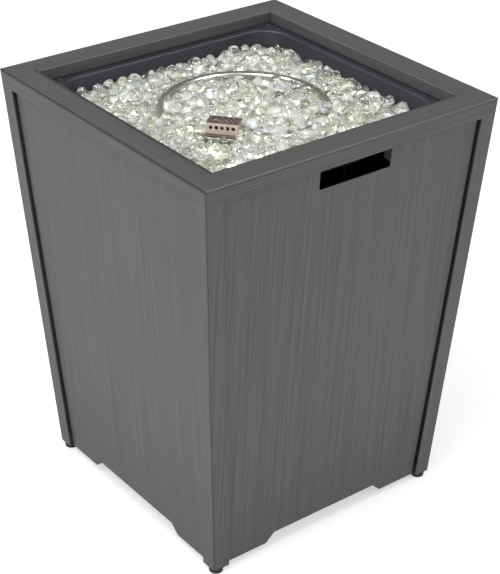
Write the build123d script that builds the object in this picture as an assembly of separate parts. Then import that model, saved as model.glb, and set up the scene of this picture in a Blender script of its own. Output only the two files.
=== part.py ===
from build123d import *
import math
import os

# A square gas fire pit on a tapered column that hides a portable gas bottle. Millimetres; the
# ground is z = 0, the centre line is x = y = 0, and the door is in the front face, towards -Y.

# ---- Overall form ----
TOP_SIDE = 510.0            # across the outer faces at the top edge
BASE_SIDE = 425.0           # across the outer faces where the posts end
BODY_HEIGHT = 647.0         # from the post ends to the top edge
FOOT_HEIGHT = 10.0          # what lifts the post ends off the ground

# ---- Frame extrusions ----
FRAME_WALL = 2.0
RAIL_WIDTH = 42.0           # top rail, seen from above
RAIL_BOX_HEIGHT = 18.0      # its inner wall
EDGE_RADIUS = 2.0           # along the rail's long edges
CORNER_RADIUS = 2.6         # down the four outer corner lines
CUT = 1.0                   # how far a cut runs past what it cuts
POST_FACE = 27.4            # what a post shows on each face
POST_CORE = 21.0            # its hollow core, behind the lips
GUSSET_THICKNESS = 4.7
GUSSET_REACH = 106.0        # from the corner along each rail
GUSSET_CLEARANCE = 1.2      # to the pan wall

# ---- Panels and door ----
PANEL_WALL = 1.5
PANEL_RECESS = 5.3          # skin behind the face of the posts
PANEL_DEPTH = 15.0          # folded sides
PANEL_GAP = 2.0             # open joint beside each post lip
PANEL_TOP_GAP = 0.5
DOOR_TOP_GAP = 1.2
PANEL_LIFT = 0.8            # panel foot above the post ends
BEND_RADIUS = 2.0
ARCH_FOOT = 115.0           # half width of the arched cut-out at the foot
ARCH_HEAD = 98.0
ARCH_HEIGHT = 16.0
ARCH_RADIUS = 3.0
NOTCH_WIDTH = 126.0
NOTCH_DEPTH = 29.4
NOTCH_RADIUS = 3.0
NOTCH_RELIEF = 7.0          # the notch's folded sides stop this far above its floor
CLIP_HEIGHT = 22.0
CLIP_WALL = 2.0
CLIP_SET_IN = 0.5           # from the back of the post's core
CLIP_TAB = 7.0
CLIP_SHARES = (0.12, 0.5, 0.88)

# ---- Door pivot and catch ----
PIVOT_RISE = 8.0            # above the door's foot
PIVOT_RADIUS = 3.0
PIVOT_CLEARANCE = 0.08
PIVOT_HEAD_RADIUS = 5.0
PIVOT_HEAD = 2.0
PIVOT_HEAD_GAP = 0.5        # clears the lean of the door's side
PIVOT_TIP = 0.4             # pin end beyond its bracket
BRACKET_WALL = 2.4
BRACKET_GAP = 0.8           # between the door's side and its pivot bracket
BRACKET_HEIGHT = 22.0
BRACKET_LIFT = 1.0          # bracket above the post's end
BRACKET_SET_BACK = 0.5      # bracket behind the door's skin
MAGNET_PLACE = 165.0
MAGNET_SIZE = (30.0, 12.0, 15.0)
MAGNET_EDGE = 1.0
STRIKE_HEIGHT = 15.0
STRIKE_WALL = 1.5
CATCH_GAP = 0.3

# ---- Base ----
SHELF_TOP = 53.5
SHELF_WALL = 1.5
SHELF_FLANGE = 20.0
SHELF_GAP = 1.0             # to the panels' folded sides
SHELF_CORNER = 66.0         # flanges stop this far from the face
SHELF_CORNER_RADIUS = 4.0
SHELF_HOLE_RADIUS = 70.0
VENT_SIZE = (60.0, 12.0)
VENT_GAP = 35.0             # from the collar's inside to a vent's middle
SHELF_BRACKET_WALL = 3.0
SHELF_BRACKET_REACH = 62.0
SHELF_BRACKET_LAP = 10.0    # along the flank of the post's core
SHELF_BRACKET_GAP = 2.4     # to the panel's folded side
SHELF_BRACKET_SET_IN = 1.2  # behind the shelf's edge
SHELF_BOLT_PLACE = 36.0
SHELF_BOLT_RADIUS = 3.0
SHELF_BOLT_HEAD_RADIUS = 5.5
SHELF_BOLT_HEAD = 3.0
SHELF_BOLT_CROWN = 1.4
SHELF_BOLT_TAIL = 2.0       # bolt below its nut
SHELF_NUT_ACROSS = 10.4
SHELF_NUT_HEIGHT = 5.0
COLLAR_RADIUS = 107.0       # around the gas bottle's foot ring
COLLAR_WALL = 2.0
COLLAR_HEIGHT = 18.0
COLLAR_BOSS = (16.0, 10.0)  # width and depth of its threaded boss
COLLAR_BOSS_ROUND = 3.0
TANK_BOLT_RADIUS = 4.0
TANK_BOLT_BACK = 0.5        # tip behind the collar's inside when backed off
TANK_BOLT_TRAVEL = 8.0
TANK_BOLT_SPARE = 16.5      # thread left outside when the bolt is home
TANK_HUB_RADIUS = 7.0
TANK_HUB_LENGTH = 7.0
TANK_WINGS = (36.0, 12.0)
TANK_WING_WALL = 3.0
TANK_WING_HOLE = 2.2
TANK_WING_HOLE_PLACE = 14.0
THREAD_CLEARANCE = 0.06
FOOT_RADIUS = 10.5
FOOT_INSET = 12.0           # a glide's centre from both faces
FOOT_PLUG = 18.0
FOOT_EDGE = 1.5
FOOT_CLEARANCE = 0.1

# ---- Burner pan ----
PAN_WALL = 1.2
PAN_DROP = 1.5              # gap between the rail and the pan's flange
PAN_LAP = 17.0              # how far the flange runs under the rail
PAN_SET_IN = 13.0           # flange seen inside the rail
PAN_DEPTH = 50.0
PAN_CORNER = 42.0
PAN_DRAFT = 9.0
PAN_RIM_RADIUS = 3.0
PAN_FLOOR_RADIUS = 9.0
DRAIN_RADIUS = 4.0
DRAIN_PLACE = 140.0
PAN_FLANGE_CORNER = 8.0
ROD_HOLE_RADIUS = 3.4       # for the pilot's rods
SCREW_RADIUS = 2.0
SCREW_HEAD_RADIUS = 3.6
SCREW_HEAD = 2.2
SCREW_HEAD_CROWN = 1.2
SCREW_SET_IN = 6.0          # from the rail's inner wall to a screw's centre
SCREW_SHIFTS = (2.0, 25.0, 52.0)  # along the rail, from the screws' own corner

# ---- Burner ----
RING_RADIUS = 120.65
RING_SEAM = 25.0            # turns the tube's weld clear of the cross tube
TUBE_RADIUS = 6.35
BURNER_LIFT = 31.0          # ring's centre line above the pan floor
PORT_RADIUS = 1.0
PORT_COUNT = 24
HUB_RADIUS = 13.0
HUB_RISE = 1.0              # above the tubes
HUB_CROWN = 2.0
NIPPLE_RADIUS = 10.6
NIPPLE_BORE = 7.0
NIPPLE_GRIP = 12.0          # inside the hub
NIPPLE_TAIL = 2.0           # below the nut
NIPPLE_CLEARANCE = 0.2
NUT_ACROSS = 30.0
NUT_HEIGHT = 6.0
MIXER_RADIUS = 13.0
MIXER_WAIST = 9.5
MIXER_COLLAR = 6.0          # straight length at its top
MIXER_FOOT = 5.0
MIXER_BASE = 2.0            # closed end
MIXER_SLOTS = 4
MIXER_SLOT_WIDTH = 6.0
ELBOW_SIDE = 18.0
ELBOW_HEIGHT = 16.0
ELBOW_ROUND = 3.0
SPUD_WALL = 2.0
SPUD_LENGTH = 5.0
PIPE_SEAT = 3.0             # of the gas pipe in the elbow, behind its spud
GLASS_LEVEL = 16.5          # glass below the top edge of the flange, away from the heap
GLASS_HEAP = 14.0           # heap above that level
GLASS_HEAP_PLACE = (-30.0, -60.0)
GLASS_HEAP_RADIUS = 165.0
GLASS_LUMP_PITCH = 51.0     # between the lumps of its uneven surface
GLASS_LUMP_RADIUS = 21.0
GLASS_LUMP_HEIGHT = 6.0
GLASS_LUMP_MARGIN = 26.0    # lumps' centres inside the pan's rim
GLASS_CLEARANCE = 0.35
PILOT_WELL_GAP = 1.35       # glass in front of the pilot's lip

# ---- Pilot ----
PILOT_TURN = -49.4          # its face looks towards the front left corner
PILOT_SET_IN = 2.0          # hood's front inside the ring's centre line
PILOT_SHIFT = -6.5
CAGE_WIDTH = 47.0
CAGE_DEPTH = 27.0
CAGE_HEIGHT = 15.5
CAGE_WALL = 0.9
CAGE_HOLE_RADIUS = 2.6
CAGE_TOP_HOLE_RADIUS = 2.1
CAGE_HOLES = 5
CAGE_TOP_ROWS = 3
CAGE_EDGE = 1.2
CAGE_HOLE_DROP = 6.6        # front holes below the hood's top
CAGE_HOLE_MARGIN = 0.9      # beside the outer holes, as a share of their pitch
CAGE_ROW_MARGIN = 0.3
CAGE_SIDE_PITCH = 8.66      # between the two holes in each end
PILOT_PLATE_WALL = 1.2
PILOT_LIP_REACH = 8.0
PILOT_SLOT_SET_IN = 2.0     # from the plate's left end
PILOT_SLOT_GAP = 1.5        # in front of the hood
PILOT_SLOT_WIDTH = 3.0
PILOT_SLOT_LENGTH = 15.0
PILOT_SLOT_BRIDGE = 5.0     # left between the two slots
PILOT_ROD_PITCH = 14.0
PILOT_ROD_DROP = 12.0       # rods below the pan
PILOT_ROD_RISE = 5.0        # above the hood's foot
PILOT_TIP = 6.0             # electrode and sensor tips above that
PILOT_TUBE_RADIUS = 3.0
PILOT_TUBE_BORE = 1.5
PILOT_NOZZLE_RADIUS = 4.2
PILOT_NOZZLE_HEIGHT = 5.0
INSULATOR_RADIUS = 3.1
INSULATOR_EDGE = 0.8
SPARK_RADIUS = 0.9
SENSOR_RADIUS = 2.2
SENSOR_SLEEVE = 8.0         # its wider lower end above the pan floor

# ---- Heat shield and controls ----
SHIELD_SET_IN = 50.0        # its edge inside the pan's rim
SHIELD_WALL = 1.0
SHIELD_RIM = 8.0
SHIELD_CORNER = 10.0
STANDOFF_LENGTH = 63.0      # leaves 470 under the shield for a bottle of 460
STANDOFF_RADIUS = 4.0
STANDOFF_SET_IN = 46.0      # from the shield's edge
STANDOFF_SCREW = 2.0
STANDOFF_HEAD = 2.5
STANDOFF_GRIP = 3.0         # screw inside the spacer
CONTROL_SET_BACK = 4.0      # plate in front of the pan's rim
CONTROL_WALL = 1.5
CONTROL_SET_IN = 65.0       # plate's middle inside the pan's rim
CONTROL_WIDTH = 104.0
CONTROL_LOW = 20.0          # plate's foot below the valve's axis
CONTROL_STEP = 28.0         # its narrow upper part starts this far above
CONTROL_TAB = 16.0          # tab under the pan's flange
CONTROL_TAB_GAP = 3.0
CONTROL_CORNER = 8.0
CONTROL_SCREW_SET_IN = 10.0  # from the tab's ends
CONTROL_SCREW_OUT = 9.0     # in front of the plate
CONTROL_SCREW_RADIUS = 3.5
CONTROL_SCREW_HEAD = 2.0
VALVE_SCREW_RADIUS = 3.0
VALVE_SCREW_SHIFT = (13.0, 9.0)
VALVE_DROP = 40.0           # valve's axis below the pan floor
VALVE_SHIFT = 22.0          # its axis to the right of the plate's middle
VALVE_SIZE = (36.0, 36.0, 28.0)
VALVE_ROUND = 5.0
VALVE_EDGE = 2.0
VALVE_NECK_WALL = 3.5
VALVE_NECK_OUT = 1.0        # in front of the plate
VALVE_NECK_GAP = 0.5        # to the plate's hole
VALVE_BORE_DEPTH = 24.0
VALVE_SPUD_LENGTH = 6.0
PIPE_GRIP = 2.0             # of the gas pipe in the valve's spud
STEM_RADIUS = 4.0
STEM_CLEARANCE = 0.06
STEM_END_GAP = 1.0          # behind the pressed stem
WASHER_RADIUS = 9.0
WASHER_WALL = 1.5
WASHER_GAP = 1.5            # plate to washer when pressed
KNOB_RADIUS = 19.0
KNOB_HEIGHT = 16.0
KNOB_GAP = 0.3              # washer to knob
KNOB_BORE_DEPTH = 10.0
KNOB_EDGE = 2.0
KNOB_FLUTES = 12
FLUTE_RADIUS = 4.0
FLUTE_SHIFT = 2.2           # flute's centre outside the knob's rim
FLUTE_END = 4.0             # left whole at the knob's back
RIB_WIDTH = 3.0
RIB_HEIGHT = 2.0
RIB_EDGE = 0.8
KNOB_TRAVEL = 4.0
INLET_RADIUS = 7.94
INLET_LENGTH = 12.0
INLET_BORE = 3.5
INLET_HEX_ACROSS = 19.0
INLET_HEX_HEIGHT = 8.0
FLARE_HEIGHT = 4.0
FLARE_TIP_RADIUS = 4.6
FLARE_SHOULDER = 0.6        # thread beside the flare's base
IGNITER_SHIFT = 27.0        # its axis to the left of the plate's middle
IGNITER_RADIUS = 12.0
IGNITER_LENGTH = 48.0
IGNITER_EDGE = 1.5
IGNITER_NECK = 10.0         # its radius
IGNITER_NECK_OUT = 7.0
IGNITER_TERMINAL = (0.8, 8.0, 6.0)
IGNITER_TERMINAL_PITCH = 8.0
IGNITER_NUT_WALL = 4.5
IGNITER_NUT_HEIGHT = 5.0
BUTTON_RADIUS = 8.0
BUTTON_CLEARANCE = 0.3
BUTTON_OUT = 7.0
BUTTON_EDGE = 2.0
BUTTON_TRAVEL = 4.0
BUTTON_LENGTH = 16.0
BUTTON_END_GAP = 3.5        # behind the pressed button
PIPE_RADIUS = 4.76
PIPE_WALL = 1.0
PIPE_BEND = 40.0
PIPE_TURN_X = 90.0          # where the pipe turns towards the mixer
PIPE_TURN_Y = -60.0         # where it leaves the valve's line

# ---- Worked out from the sizes above ----
TOP_Z = FOOT_HEIGHT + BODY_HEIGHT
LEAN = (TOP_SIDE - BASE_SIDE) / 2 / BODY_HEIGHT
COS = math.cos(math.atan(LEAN))
SIN = math.sin(math.atan(LEAN))
RAIL_BOX_Z = TOP_Z - RAIL_BOX_HEIGHT
FLANGE_TOP_Z = RAIL_BOX_Z - PAN_DROP
FLANGE_FOOT_Z = FLANGE_TOP_Z - PAN_WALL
APRON_Z = FLANGE_FOOT_Z - GUSSET_THICKNESS
RAIL_INNER = TOP_SIDE / 2 - RAIL_WIDTH
PAN_RIM = RAIL_INNER - PAN_SET_IN
PAN_FLOOR_Z = FLANGE_TOP_Z - PAN_DEPTH + PAN_WALL
PAN_FOOT_Z = PAN_FLOOR_Z - PAN_WALL
BURNER_Z = PAN_FLOOR_Z + BURNER_LIFT
PANEL_FOOT_Z = FOOT_HEIGHT + PANEL_LIFT
PANEL_BACK = PANEL_RECESS + PANEL_DEPTH
PILOT_FRONT = RING_RADIUS - PILOT_SET_IN
SHIELD_HALF = PAN_RIM - SHIELD_SET_IN
SHIELD_Z = PAN_FOOT_Z - STANDOFF_LENGTH - SHIELD_WALL
STANDOFF_PLACE = SHIELD_HALF - STANDOFF_SET_IN
CONTROL_X = PAN_RIM - CONTROL_SET_IN
CONTROL_Y = -(PAN_RIM + CONTROL_SET_BACK)
VALVE_X = CONTROL_X + VALVE_SHIFT
VALVE_Z = PAN_FOOT_Z - VALVE_DROP
IGNITER_X = CONTROL_X - IGNITER_SHIFT
TANK_BOLT_LENGTH = (TANK_BOLT_BACK + COLLAR_WALL + COLLAR_BOSS[1] + TANK_BOLT_TRAVEL
                    + TANK_BOLT_SPARE + TANK_HUB_LENGTH)
WASHER_BACK = CONTROL_Y - WASHER_GAP - KNOB_TRAVEL
KNOB_BACK = WASHER_BACK - WASHER_WALL - KNOB_GAP
FAR = TOP_SIDE              # a length that reaches past everything

SIDES = {"front": 0, "right": 90, "back": 180, "left": 270}
CORNERS = {"front_left": 0, "front_right": 90, "back_right": 180, "back_left": 270}


# ---- Helpers ----
def half_side(z):
    """Half the width across the outer faces at a height."""
    return BASE_SIDE / 2 + (z - FOOT_HEIGHT) * LEAN


def polygon(points):
    return make_face(Polyline(*points, close=True))


def plan_prism(points, low, high):
    """Upright prism on a plan outline."""
    return extrude(Pos(0, 0, low) * polygon(points), amount=high - low)


def leaning_prism(outline, low, high):
    """Prism on a plan outline, measured from the front left corner, that leans with that corner."""
    corner = half_side(low)
    base = (Pos(-corner, -corner, low) * outline).face()
    rise = high - low
    return Solid.extrude(base, Vector(-LEAN * rise, -LEAN * rise, rise))


def front_pair(points, low, high):
    """Leaning prisms at both front corners; each point is a place along the face and one inwards."""
    swapped = polygon([(inward, along) for along, inward in points])
    return [
        leaning_prism(polygon(points), low, high),
        turned(leaning_prism(swapped, low, high), 90),
    ]


def rod(radius, start, end):
    """Round bar between two points."""
    start, end = Vector(*start), Vector(*end)
    plane = Plane(origin=start, z_dir=end - start)
    return extrude(plane * Circle(radius), amount=(end - start).length)


def block(low, high):
    """Box between two opposite corners."""
    size = [b - a for a, b in zip(low, high)]
    middle = [(a + b) / 2 for a, b in zip(low, high)]
    return Pos(*middle) * Box(*size)


def turned(shape, angle):
    return shape.rotate(Axis.Z, angle)


def nearest(items, point):
    return items.sort_by_distance(point)[0]


def rounded_square(half, radius):
    return RectangleRounded(2 * half, 2 * half, radius)


def face_plane(inset):
    """Plane of the front face, moved inwards: x runs along the face and y up its slope."""
    normal = Vector(0, -COS, -SIN)
    return Plane(origin=Vector(0, -half_side(0), 0) - normal * inset, x_dir=(1, 0, 0), z_dir=normal)


def slope(z, inset):
    """Place of a height along the slope of that plane."""
    return (z - inset * SIN) / COS


def face_y(z, inset):
    """Place in depth of that plane at a height."""
    return -half_side(0) - slope(z, inset) * SIN + inset * COS


def panel_half(z):
    """Half the width of a panel at a height."""
    return half_side(z) - POST_FACE - PANEL_GAP


def group(solids):
    """Separate solids that share one node."""
    return Compound(children=list(solids))


# ---- Frame ----
def corner_rounding(low, high):
    """What rounding takes off the front left corner line."""
    r = CORNER_RADIUS
    middle = r - r / math.sqrt(2)
    outline = make_face(
        Polyline((r, 0), (r, -CUT), (-CUT, -CUT), (-CUT, r), (0, r))
        + ThreePointArc((0, r), (middle, middle), (r, 0))
    )
    return leaning_prism(outline, low, high)


def top_rail():
    """Front rail: a hollow box with a lip down to the panel, mitred to its neighbours."""
    outer_top, inner = -half_side(TOP_Z), -RAIL_INNER
    outline = polygon([
        (outer_top, TOP_Z), (inner, TOP_Z), (inner, RAIL_BOX_Z),
        (-half_side(RAIL_BOX_Z) + FRAME_WALL, RAIL_BOX_Z),
        (-half_side(APRON_Z) + FRAME_WALL, APRON_Z), (-half_side(APRON_Z), APRON_Z),
    ])
    edges = [nearest(outline.vertices(), (y, TOP_Z, 0)) for y in (outer_top, inner)]
    outline = fillet(edges, EDGE_RADIUS)
    roof, floor = TOP_Z - FRAME_WALL, RAIL_BOX_Z + FRAME_WALL
    hollow = polygon([
        (-half_side(roof) + FRAME_WALL, roof), (inner - FRAME_WALL, roof),
        (inner - FRAME_WALL, floor), (-half_side(floor) + FRAME_WALL, floor),
    ])
    rail = extrude(Plane.YZ * (outline - hollow), amount=FAR, both=True)
    rail = rail & plan_prism([(0, 0), (-FAR, -FAR), (FAR, -FAR)], APRON_Z - CUT, TOP_Z + CUT)
    cut = corner_rounding(APRON_Z - CUT, TOP_Z + CUT)
    return rail - cut - turned(cut, 90)


def corner_post():
    """Front left post: a hollow core with a thin lip along each face."""
    face, core, wall = POST_FACE, POST_CORE, FRAME_WALL
    outline = polygon([
        (0, 0), (face, 0), (face, wall), (core, wall), (core, core), (wall, core),
        (wall, face), (0, face),
    ])
    outline = fillet([nearest(outline.vertices(), (0, 0, 0))], CORNER_RADIUS)
    hollow = polygon([
        (wall, wall), (core - wall, wall), (core - wall, core - wall), (wall, core - wall),
    ])
    return leaning_prism(outline - hollow, FOOT_HEIGHT, APRON_Z)


def pan_screw_places():
    """Two screws at each corner of the flange; half a turn maps the pattern on itself."""
    line = RAIL_INNER - SCREW_SET_IN
    near, middle, far = (line - shift for shift in SCREW_SHIFTS)
    half = [(near, line), (-middle, line), (line, middle), (line, -far)]
    return half + [(-x, -y) for x, y in half]


def rim_gusset():
    """Front left gusset: it joins two rails to the post and carries the pan's flange."""
    wall, reach = FRAME_WALL, GUSSET_REACH
    inner = half_side(APRON_Z) - PAN_RIM + PAN_LAP
    outline = polygon([
        (wall, wall), (reach, wall), (reach, inner), (inner, reach), (wall, reach),
    ])
    plate = leaning_prism(outline, APRON_Z, FLANGE_FOOT_Z)
    clearance = rounded_square(PAN_RIM + PAN_WALL + GUSSET_CLEARANCE, PAN_CORNER + PAN_WALL)
    return plate - extrude(Pos(0, 0, APRON_Z - CUT) * clearance, amount=FAR)


def drilled_gusset(angle):
    gusset = turned(rim_gusset(), angle)
    for x, y in pan_screw_places():
        gusset -= rod(SCREW_RADIUS, (x, y, APRON_Z - CUT), (x, y, TOP_Z))
    return gusset


def foot():
    """Front left foot: a glide with a square plug in the post's core."""
    wall, core = FRAME_WALL + FOOT_CLEARANCE, POST_CORE - FRAME_WALL - FOOT_CLEARANCE
    plug = leaning_prism(
        polygon([(wall, wall), (core, wall), (core, core), (wall, core)]),
        FOOT_HEIGHT, FOOT_HEIGHT + FOOT_PLUG,
    )
    middle = FOOT_INSET - half_side(FOOT_HEIGHT)
    glide = Pos(middle, middle, FOOT_HEIGHT / 2) * Cylinder(FOOT_RADIUS, FOOT_HEIGHT)
    glide = fillet(glide.edges().group_by(Axis.Z)[0], FOOT_EDGE)
    return glide + plug


# ---- Panels ----
def panel_outline(low_z, high_z, margin):
    """Tapered outline of a panel on its own plane, drawn in by a margin."""
    low, high = slope(low_z, PANEL_RECESS) + margin, slope(high_z, PANEL_BACK) - margin
    low_half, high_half = (
        panel_half(place * COS + PANEL_RECESS * SIN) - margin for place in (low, high)
    )
    return polygon([(-low_half, low), (low_half, low), (high_half, high), (-high_half, high)])


def folded_panel(low_z, high_z):
    """Front panel with folded sides and an arched cut-out at its foot."""
    skin = face_plane(PANEL_RECESS)
    outer = extrude(skin * panel_outline(low_z, high_z, 0), amount=-PANEL_DEPTH)
    middle_z = (low_z + high_z) / 2
    front = nearest(outer.faces(), (0, face_y(middle_z, PANEL_RECESS), middle_z))
    outer = fillet(front.edges(), BEND_RADIUS)
    inner = extrude(
        face_plane(PANEL_RECESS + PANEL_WALL) * panel_outline(low_z, high_z, PANEL_WALL),
        amount=-PANEL_DEPTH,
    )
    low = slope(low_z, PANEL_RECESS)
    arch = polygon([
        (-ARCH_FOOT, low - CUT), (ARCH_FOOT, low - CUT),
        (ARCH_HEAD, low + ARCH_HEIGHT), (-ARCH_HEAD, low + ARCH_HEIGHT),
    ])
    heads = arch.vertices().sort_by(Axis.Y)[-2:]
    arch = fillet(heads, ARCH_RADIUS)
    return outer - inner - extrude(face_plane(0) * arch, amount=-PANEL_BACK - CUT)


def fixed_panel():
    return folded_panel(PANEL_FOOT_Z, APRON_Z - PANEL_TOP_GAP)


def pivot_place():
    """Depth behind the face, height, and half width of the door at its pivot line."""
    z = PANEL_FOOT_Z + PIVOT_RISE
    return PANEL_RECESS + PANEL_DEPTH / 2, z, panel_half(z)


def pivot_point(x):
    """Point of the pivot line at a place across the front."""
    depth, z, _ = pivot_place()
    return (x, face_y(z, depth), z)


def door_panel():
    """Door: a folded panel with a notch in its top edge as a pull, and the notch's sides folded in."""
    high_z = APRON_Z - DOOR_TOP_GAP
    door = folded_panel(PANEL_FOOT_Z, high_z)
    high = slope(high_z, PANEL_BACK)
    half, floor = NOTCH_WIDTH / 2, high - NOTCH_DEPTH
    notch = polygon([(-half, floor), (half, floor), (half, high + CUT), (-half, high + CUT)])
    notch = fillet(notch.vertices().sort_by(Axis.Y)[:2], NOTCH_RADIUS)
    door -= extrude(face_plane(0) * notch, amount=-PANEL_BACK - CUT)
    for side in (-1, 1):
        near, far = side * half, side * (half + PANEL_WALL)
        flange = polygon([
            (near, floor + NOTCH_RELIEF), (far, floor + NOTCH_RELIEF), (far, high - PANEL_WALL / 2),
            (near, high - PANEL_WALL / 2),
        ])
        door += extrude(face_plane(PANEL_RECESS + PANEL_WALL / 2) * flange,
                        amount=-PANEL_DEPTH + PANEL_WALL / 2)
    reach = panel_half(high_z)
    return door - rod(PIVOT_RADIUS, pivot_point(-reach), pivot_point(reach))


def door_pivot_pins():
    """Two pins through the door's folded sides, low down."""
    _, _, half = pivot_place()
    pins = []
    for side in (-1, 1):
        inside = side * (half - PANEL_WALL - PIVOT_HEAD_GAP)
        head = rod(PIVOT_HEAD_RADIUS, pivot_point(inside - side * PIVOT_HEAD), pivot_point(inside))
        tip = side * (half + BRACKET_GAP + BRACKET_WALL + PIVOT_TIP)
        pins.append(head + rod(PIVOT_RADIUS, pivot_point(inside), pivot_point(tip)))
    return group(pins)


def door_pivot_brackets():
    """Angles behind the front posts, each with a slot open at the top for a pin."""
    depth, z, _ = pivot_place()
    low = FOOT_HEIGHT + BRACKET_LIFT
    high = low + BRACKET_HEIGHT
    near = POST_FACE + PANEL_GAP - BRACKET_GAP
    back, front = POST_CORE + BRACKET_WALL, PANEL_RECESS + BRACKET_SET_BACK
    brackets = front_pair([
        (POST_CORE / 2, POST_CORE), (near - BRACKET_WALL, POST_CORE),
        (near - BRACKET_WALL, front), (near, front), (near, back), (POST_CORE / 2, back),
    ], low, high)
    _, y, _ = pivot_point(0)
    gap = PIVOT_RADIUS + PIVOT_CLEARANCE
    slot = block((-FAR, y - gap, z), (FAR, y + gap, high + CUT)) + rod(gap, (-FAR, y, z), (FAR, y, z))
    return group([bracket - slot for bracket in brackets])


def door_strikes():
    """Steel plates on the folded edge at the top of the door."""
    high_z = APRON_Z - DOOR_TOP_GAP
    width = MAGNET_SIZE[0]
    plates = []
    for side in (-1, 1):
        x = side * MAGNET_PLACE
        high = slope(high_z, PANEL_BACK)
        outline = polygon([
            (x - width / 2, high - STRIKE_HEIGHT), (x + width / 2, high - STRIKE_HEIGHT),
            (x + width / 2, high), (x - width / 2, high),
        ])
        plates.append(extrude(face_plane(PANEL_BACK) * outline, amount=-STRIKE_WALL))
    return group(plates)


def door_magnets():
    """Magnet blocks under the front gussets, just behind the strike plates."""
    width, depth, height = MAGNET_SIZE
    inset = PANEL_BACK + STRIKE_WALL + CATCH_GAP
    near = face_y(APRON_Z - height, inset)
    magnets = []
    for side in (-1, 1):
        x = side * MAGNET_PLACE
        magnet = block((x - width / 2, near, APRON_Z - height), (x + width / 2, near + depth, APRON_Z))
        magnets.append(chamfer(magnet.edges().group_by(Axis.Z)[0], MAGNET_EDGE))
    return group(magnets)


def panel_clips(angle):
    """Angles that tie a fixed panel's folded sides to the cores of its two posts."""
    low_z, high_z = PANEL_FOOT_Z, APRON_Z
    near, far = POST_CORE, POST_FACE + PANEL_GAP
    back = POST_CORE - CLIP_SET_IN
    tab, web = back - CLIP_TAB, back - CLIP_WALL
    clips = []
    for share in CLIP_SHARES:
        z = low_z + share * (high_z - low_z)
        low, high = z - CLIP_HEIGHT / 2, z + CLIP_HEIGHT / 2
        clips += front_pair([
            (near, tab), (near + CLIP_WALL, tab), (near + CLIP_WALL, web), (far - CLIP_WALL, web),
            (far - CLIP_WALL, tab), (far, tab), (far, back), (near, back),
        ], low, high)
    return group([turned(clip, angle) for clip in clips])


# ---- Base ----
def shelf_half():
    return half_side(SHELF_TOP - SHELF_FLANGE) - PANEL_BACK - SHELF_GAP


def bolt_places(place):
    """The four corners of a square."""
    return [(x, y) for x in (-place, place) for y in (-place, place)]


def shelf_bolt_place():
    return half_side(SHELF_TOP) - SHELF_BOLT_PLACE


def base_shelf():
    """Shelf under the gas bottle: a plate with down-turned flanges and a vent hole."""
    half = shelf_half()
    reach = half_side(SHELF_TOP) - SHELF_CORNER
    plate = Pos(0, 0, SHELF_TOP - SHELF_WALL) * rounded_square(half, SHELF_CORNER_RADIUS)
    shelf = extrude(plate, amount=SHELF_WALL)
    for angle in SIDES.values():
        flange = block((-reach, -half, SHELF_TOP - SHELF_FLANGE), (reach, -half + SHELF_WALL, SHELF_TOP))
        shelf += turned(flange, angle)
    shelf -= rod(SHELF_HOLE_RADIUS, (0, 0, 0), (0, 0, SHELF_TOP + CUT))
    for angle in range(45, 360, 90):
        vent = Rot(0, 0, angle) * Pos(COLLAR_RADIUS + VENT_GAP, 0, 0)
        shelf -= extrude(vent * SlotOverall(*VENT_SIZE, rotation=90), amount=SHELF_TOP + CUT)
    place = shelf_bolt_place()
    for x, y in bolt_places(place):
        shelf -= rod(SHELF_BOLT_RADIUS, (x, y, 0), (x, y, SHELF_TOP + CUT))
    return shelf


def shelf_brackets():
    """Plates between the post cores and the corners of the shelf."""
    near, far = POST_CORE, POST_FACE + PANEL_GAP - SHELF_BRACKET_GAP
    start, reach = POST_CORE - SHELF_BRACKET_LAP, SHELF_BRACKET_REACH
    inner = PANEL_BACK + SHELF_GAP + SHELF_BRACKET_SET_IN
    outline = polygon([
        (near, start), (far, start), (far, inner), (reach, inner), (inner, reach), (inner, far),
        (start, far), (start, near), (near, near),
    ])
    high = SHELF_TOP - SHELF_WALL
    bracket = leaning_prism(outline, high - SHELF_BRACKET_WALL, high)
    place = shelf_bolt_place()
    bracket -= rod(SHELF_BOLT_RADIUS, (-place, -place, 0), (-place, -place, SHELF_TOP))
    return group([turned(bracket, angle) for angle in CORNERS.values()])


def shelf_bolts():
    """Round-headed bolts with nuts, at the shelf's corners."""
    place, bolts = shelf_bolt_place(), []
    nut_low = SHELF_TOP - SHELF_WALL - SHELF_BRACKET_WALL - SHELF_NUT_HEIGHT
    for x, y in bolt_places(place):
        head = rod(SHELF_BOLT_HEAD_RADIUS, (x, y, SHELF_TOP), (x, y, SHELF_TOP + SHELF_BOLT_HEAD))
        head = fillet(head.edges().group_by(Axis.Z)[-1], SHELF_BOLT_CROWN)
        hexagon = Pos(x, y, nut_low) * RegularPolygon(SHELF_NUT_ACROSS / 2, 6, major_radius=False)
        nut = extrude(hexagon, amount=SHELF_NUT_HEIGHT)
        shank = rod(SHELF_BOLT_RADIUS, (x, y, nut_low - SHELF_BOLT_TAIL), (x, y, SHELF_TOP + CUT))
        bolts.append(head + nut + shank)
    return group(bolts)


def tank_bolt_z():
    return SHELF_TOP + COLLAR_HEIGHT / 2


def tank_collar():
    """Ring around the bottle's foot, with a threaded boss for the retaining bolt."""
    outer = COLLAR_RADIUS + COLLAR_WALL
    ring = extrude(Pos(0, 0, SHELF_TOP) * Circle(outer), amount=COLLAR_HEIGHT)
    width, depth = COLLAR_BOSS
    front, high = -outer - depth, SHELF_TOP + COLLAR_HEIGHT
    boss = block((-width / 2, front, SHELF_TOP), (width / 2, -COLLAR_RADIUS, high))
    ring = ring + fillet(boss.edges().filter_by(Axis.Y), COLLAR_BOSS_ROUND)
    ring -= rod(COLLAR_RADIUS, (0, 0, SHELF_TOP - CUT), (0, 0, high + CUT))
    z = tank_bolt_z()
    return ring - rod(TANK_BOLT_RADIUS + THREAD_CLEARANCE, (0, front - CUT, z), (0, 0, z))


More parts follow.
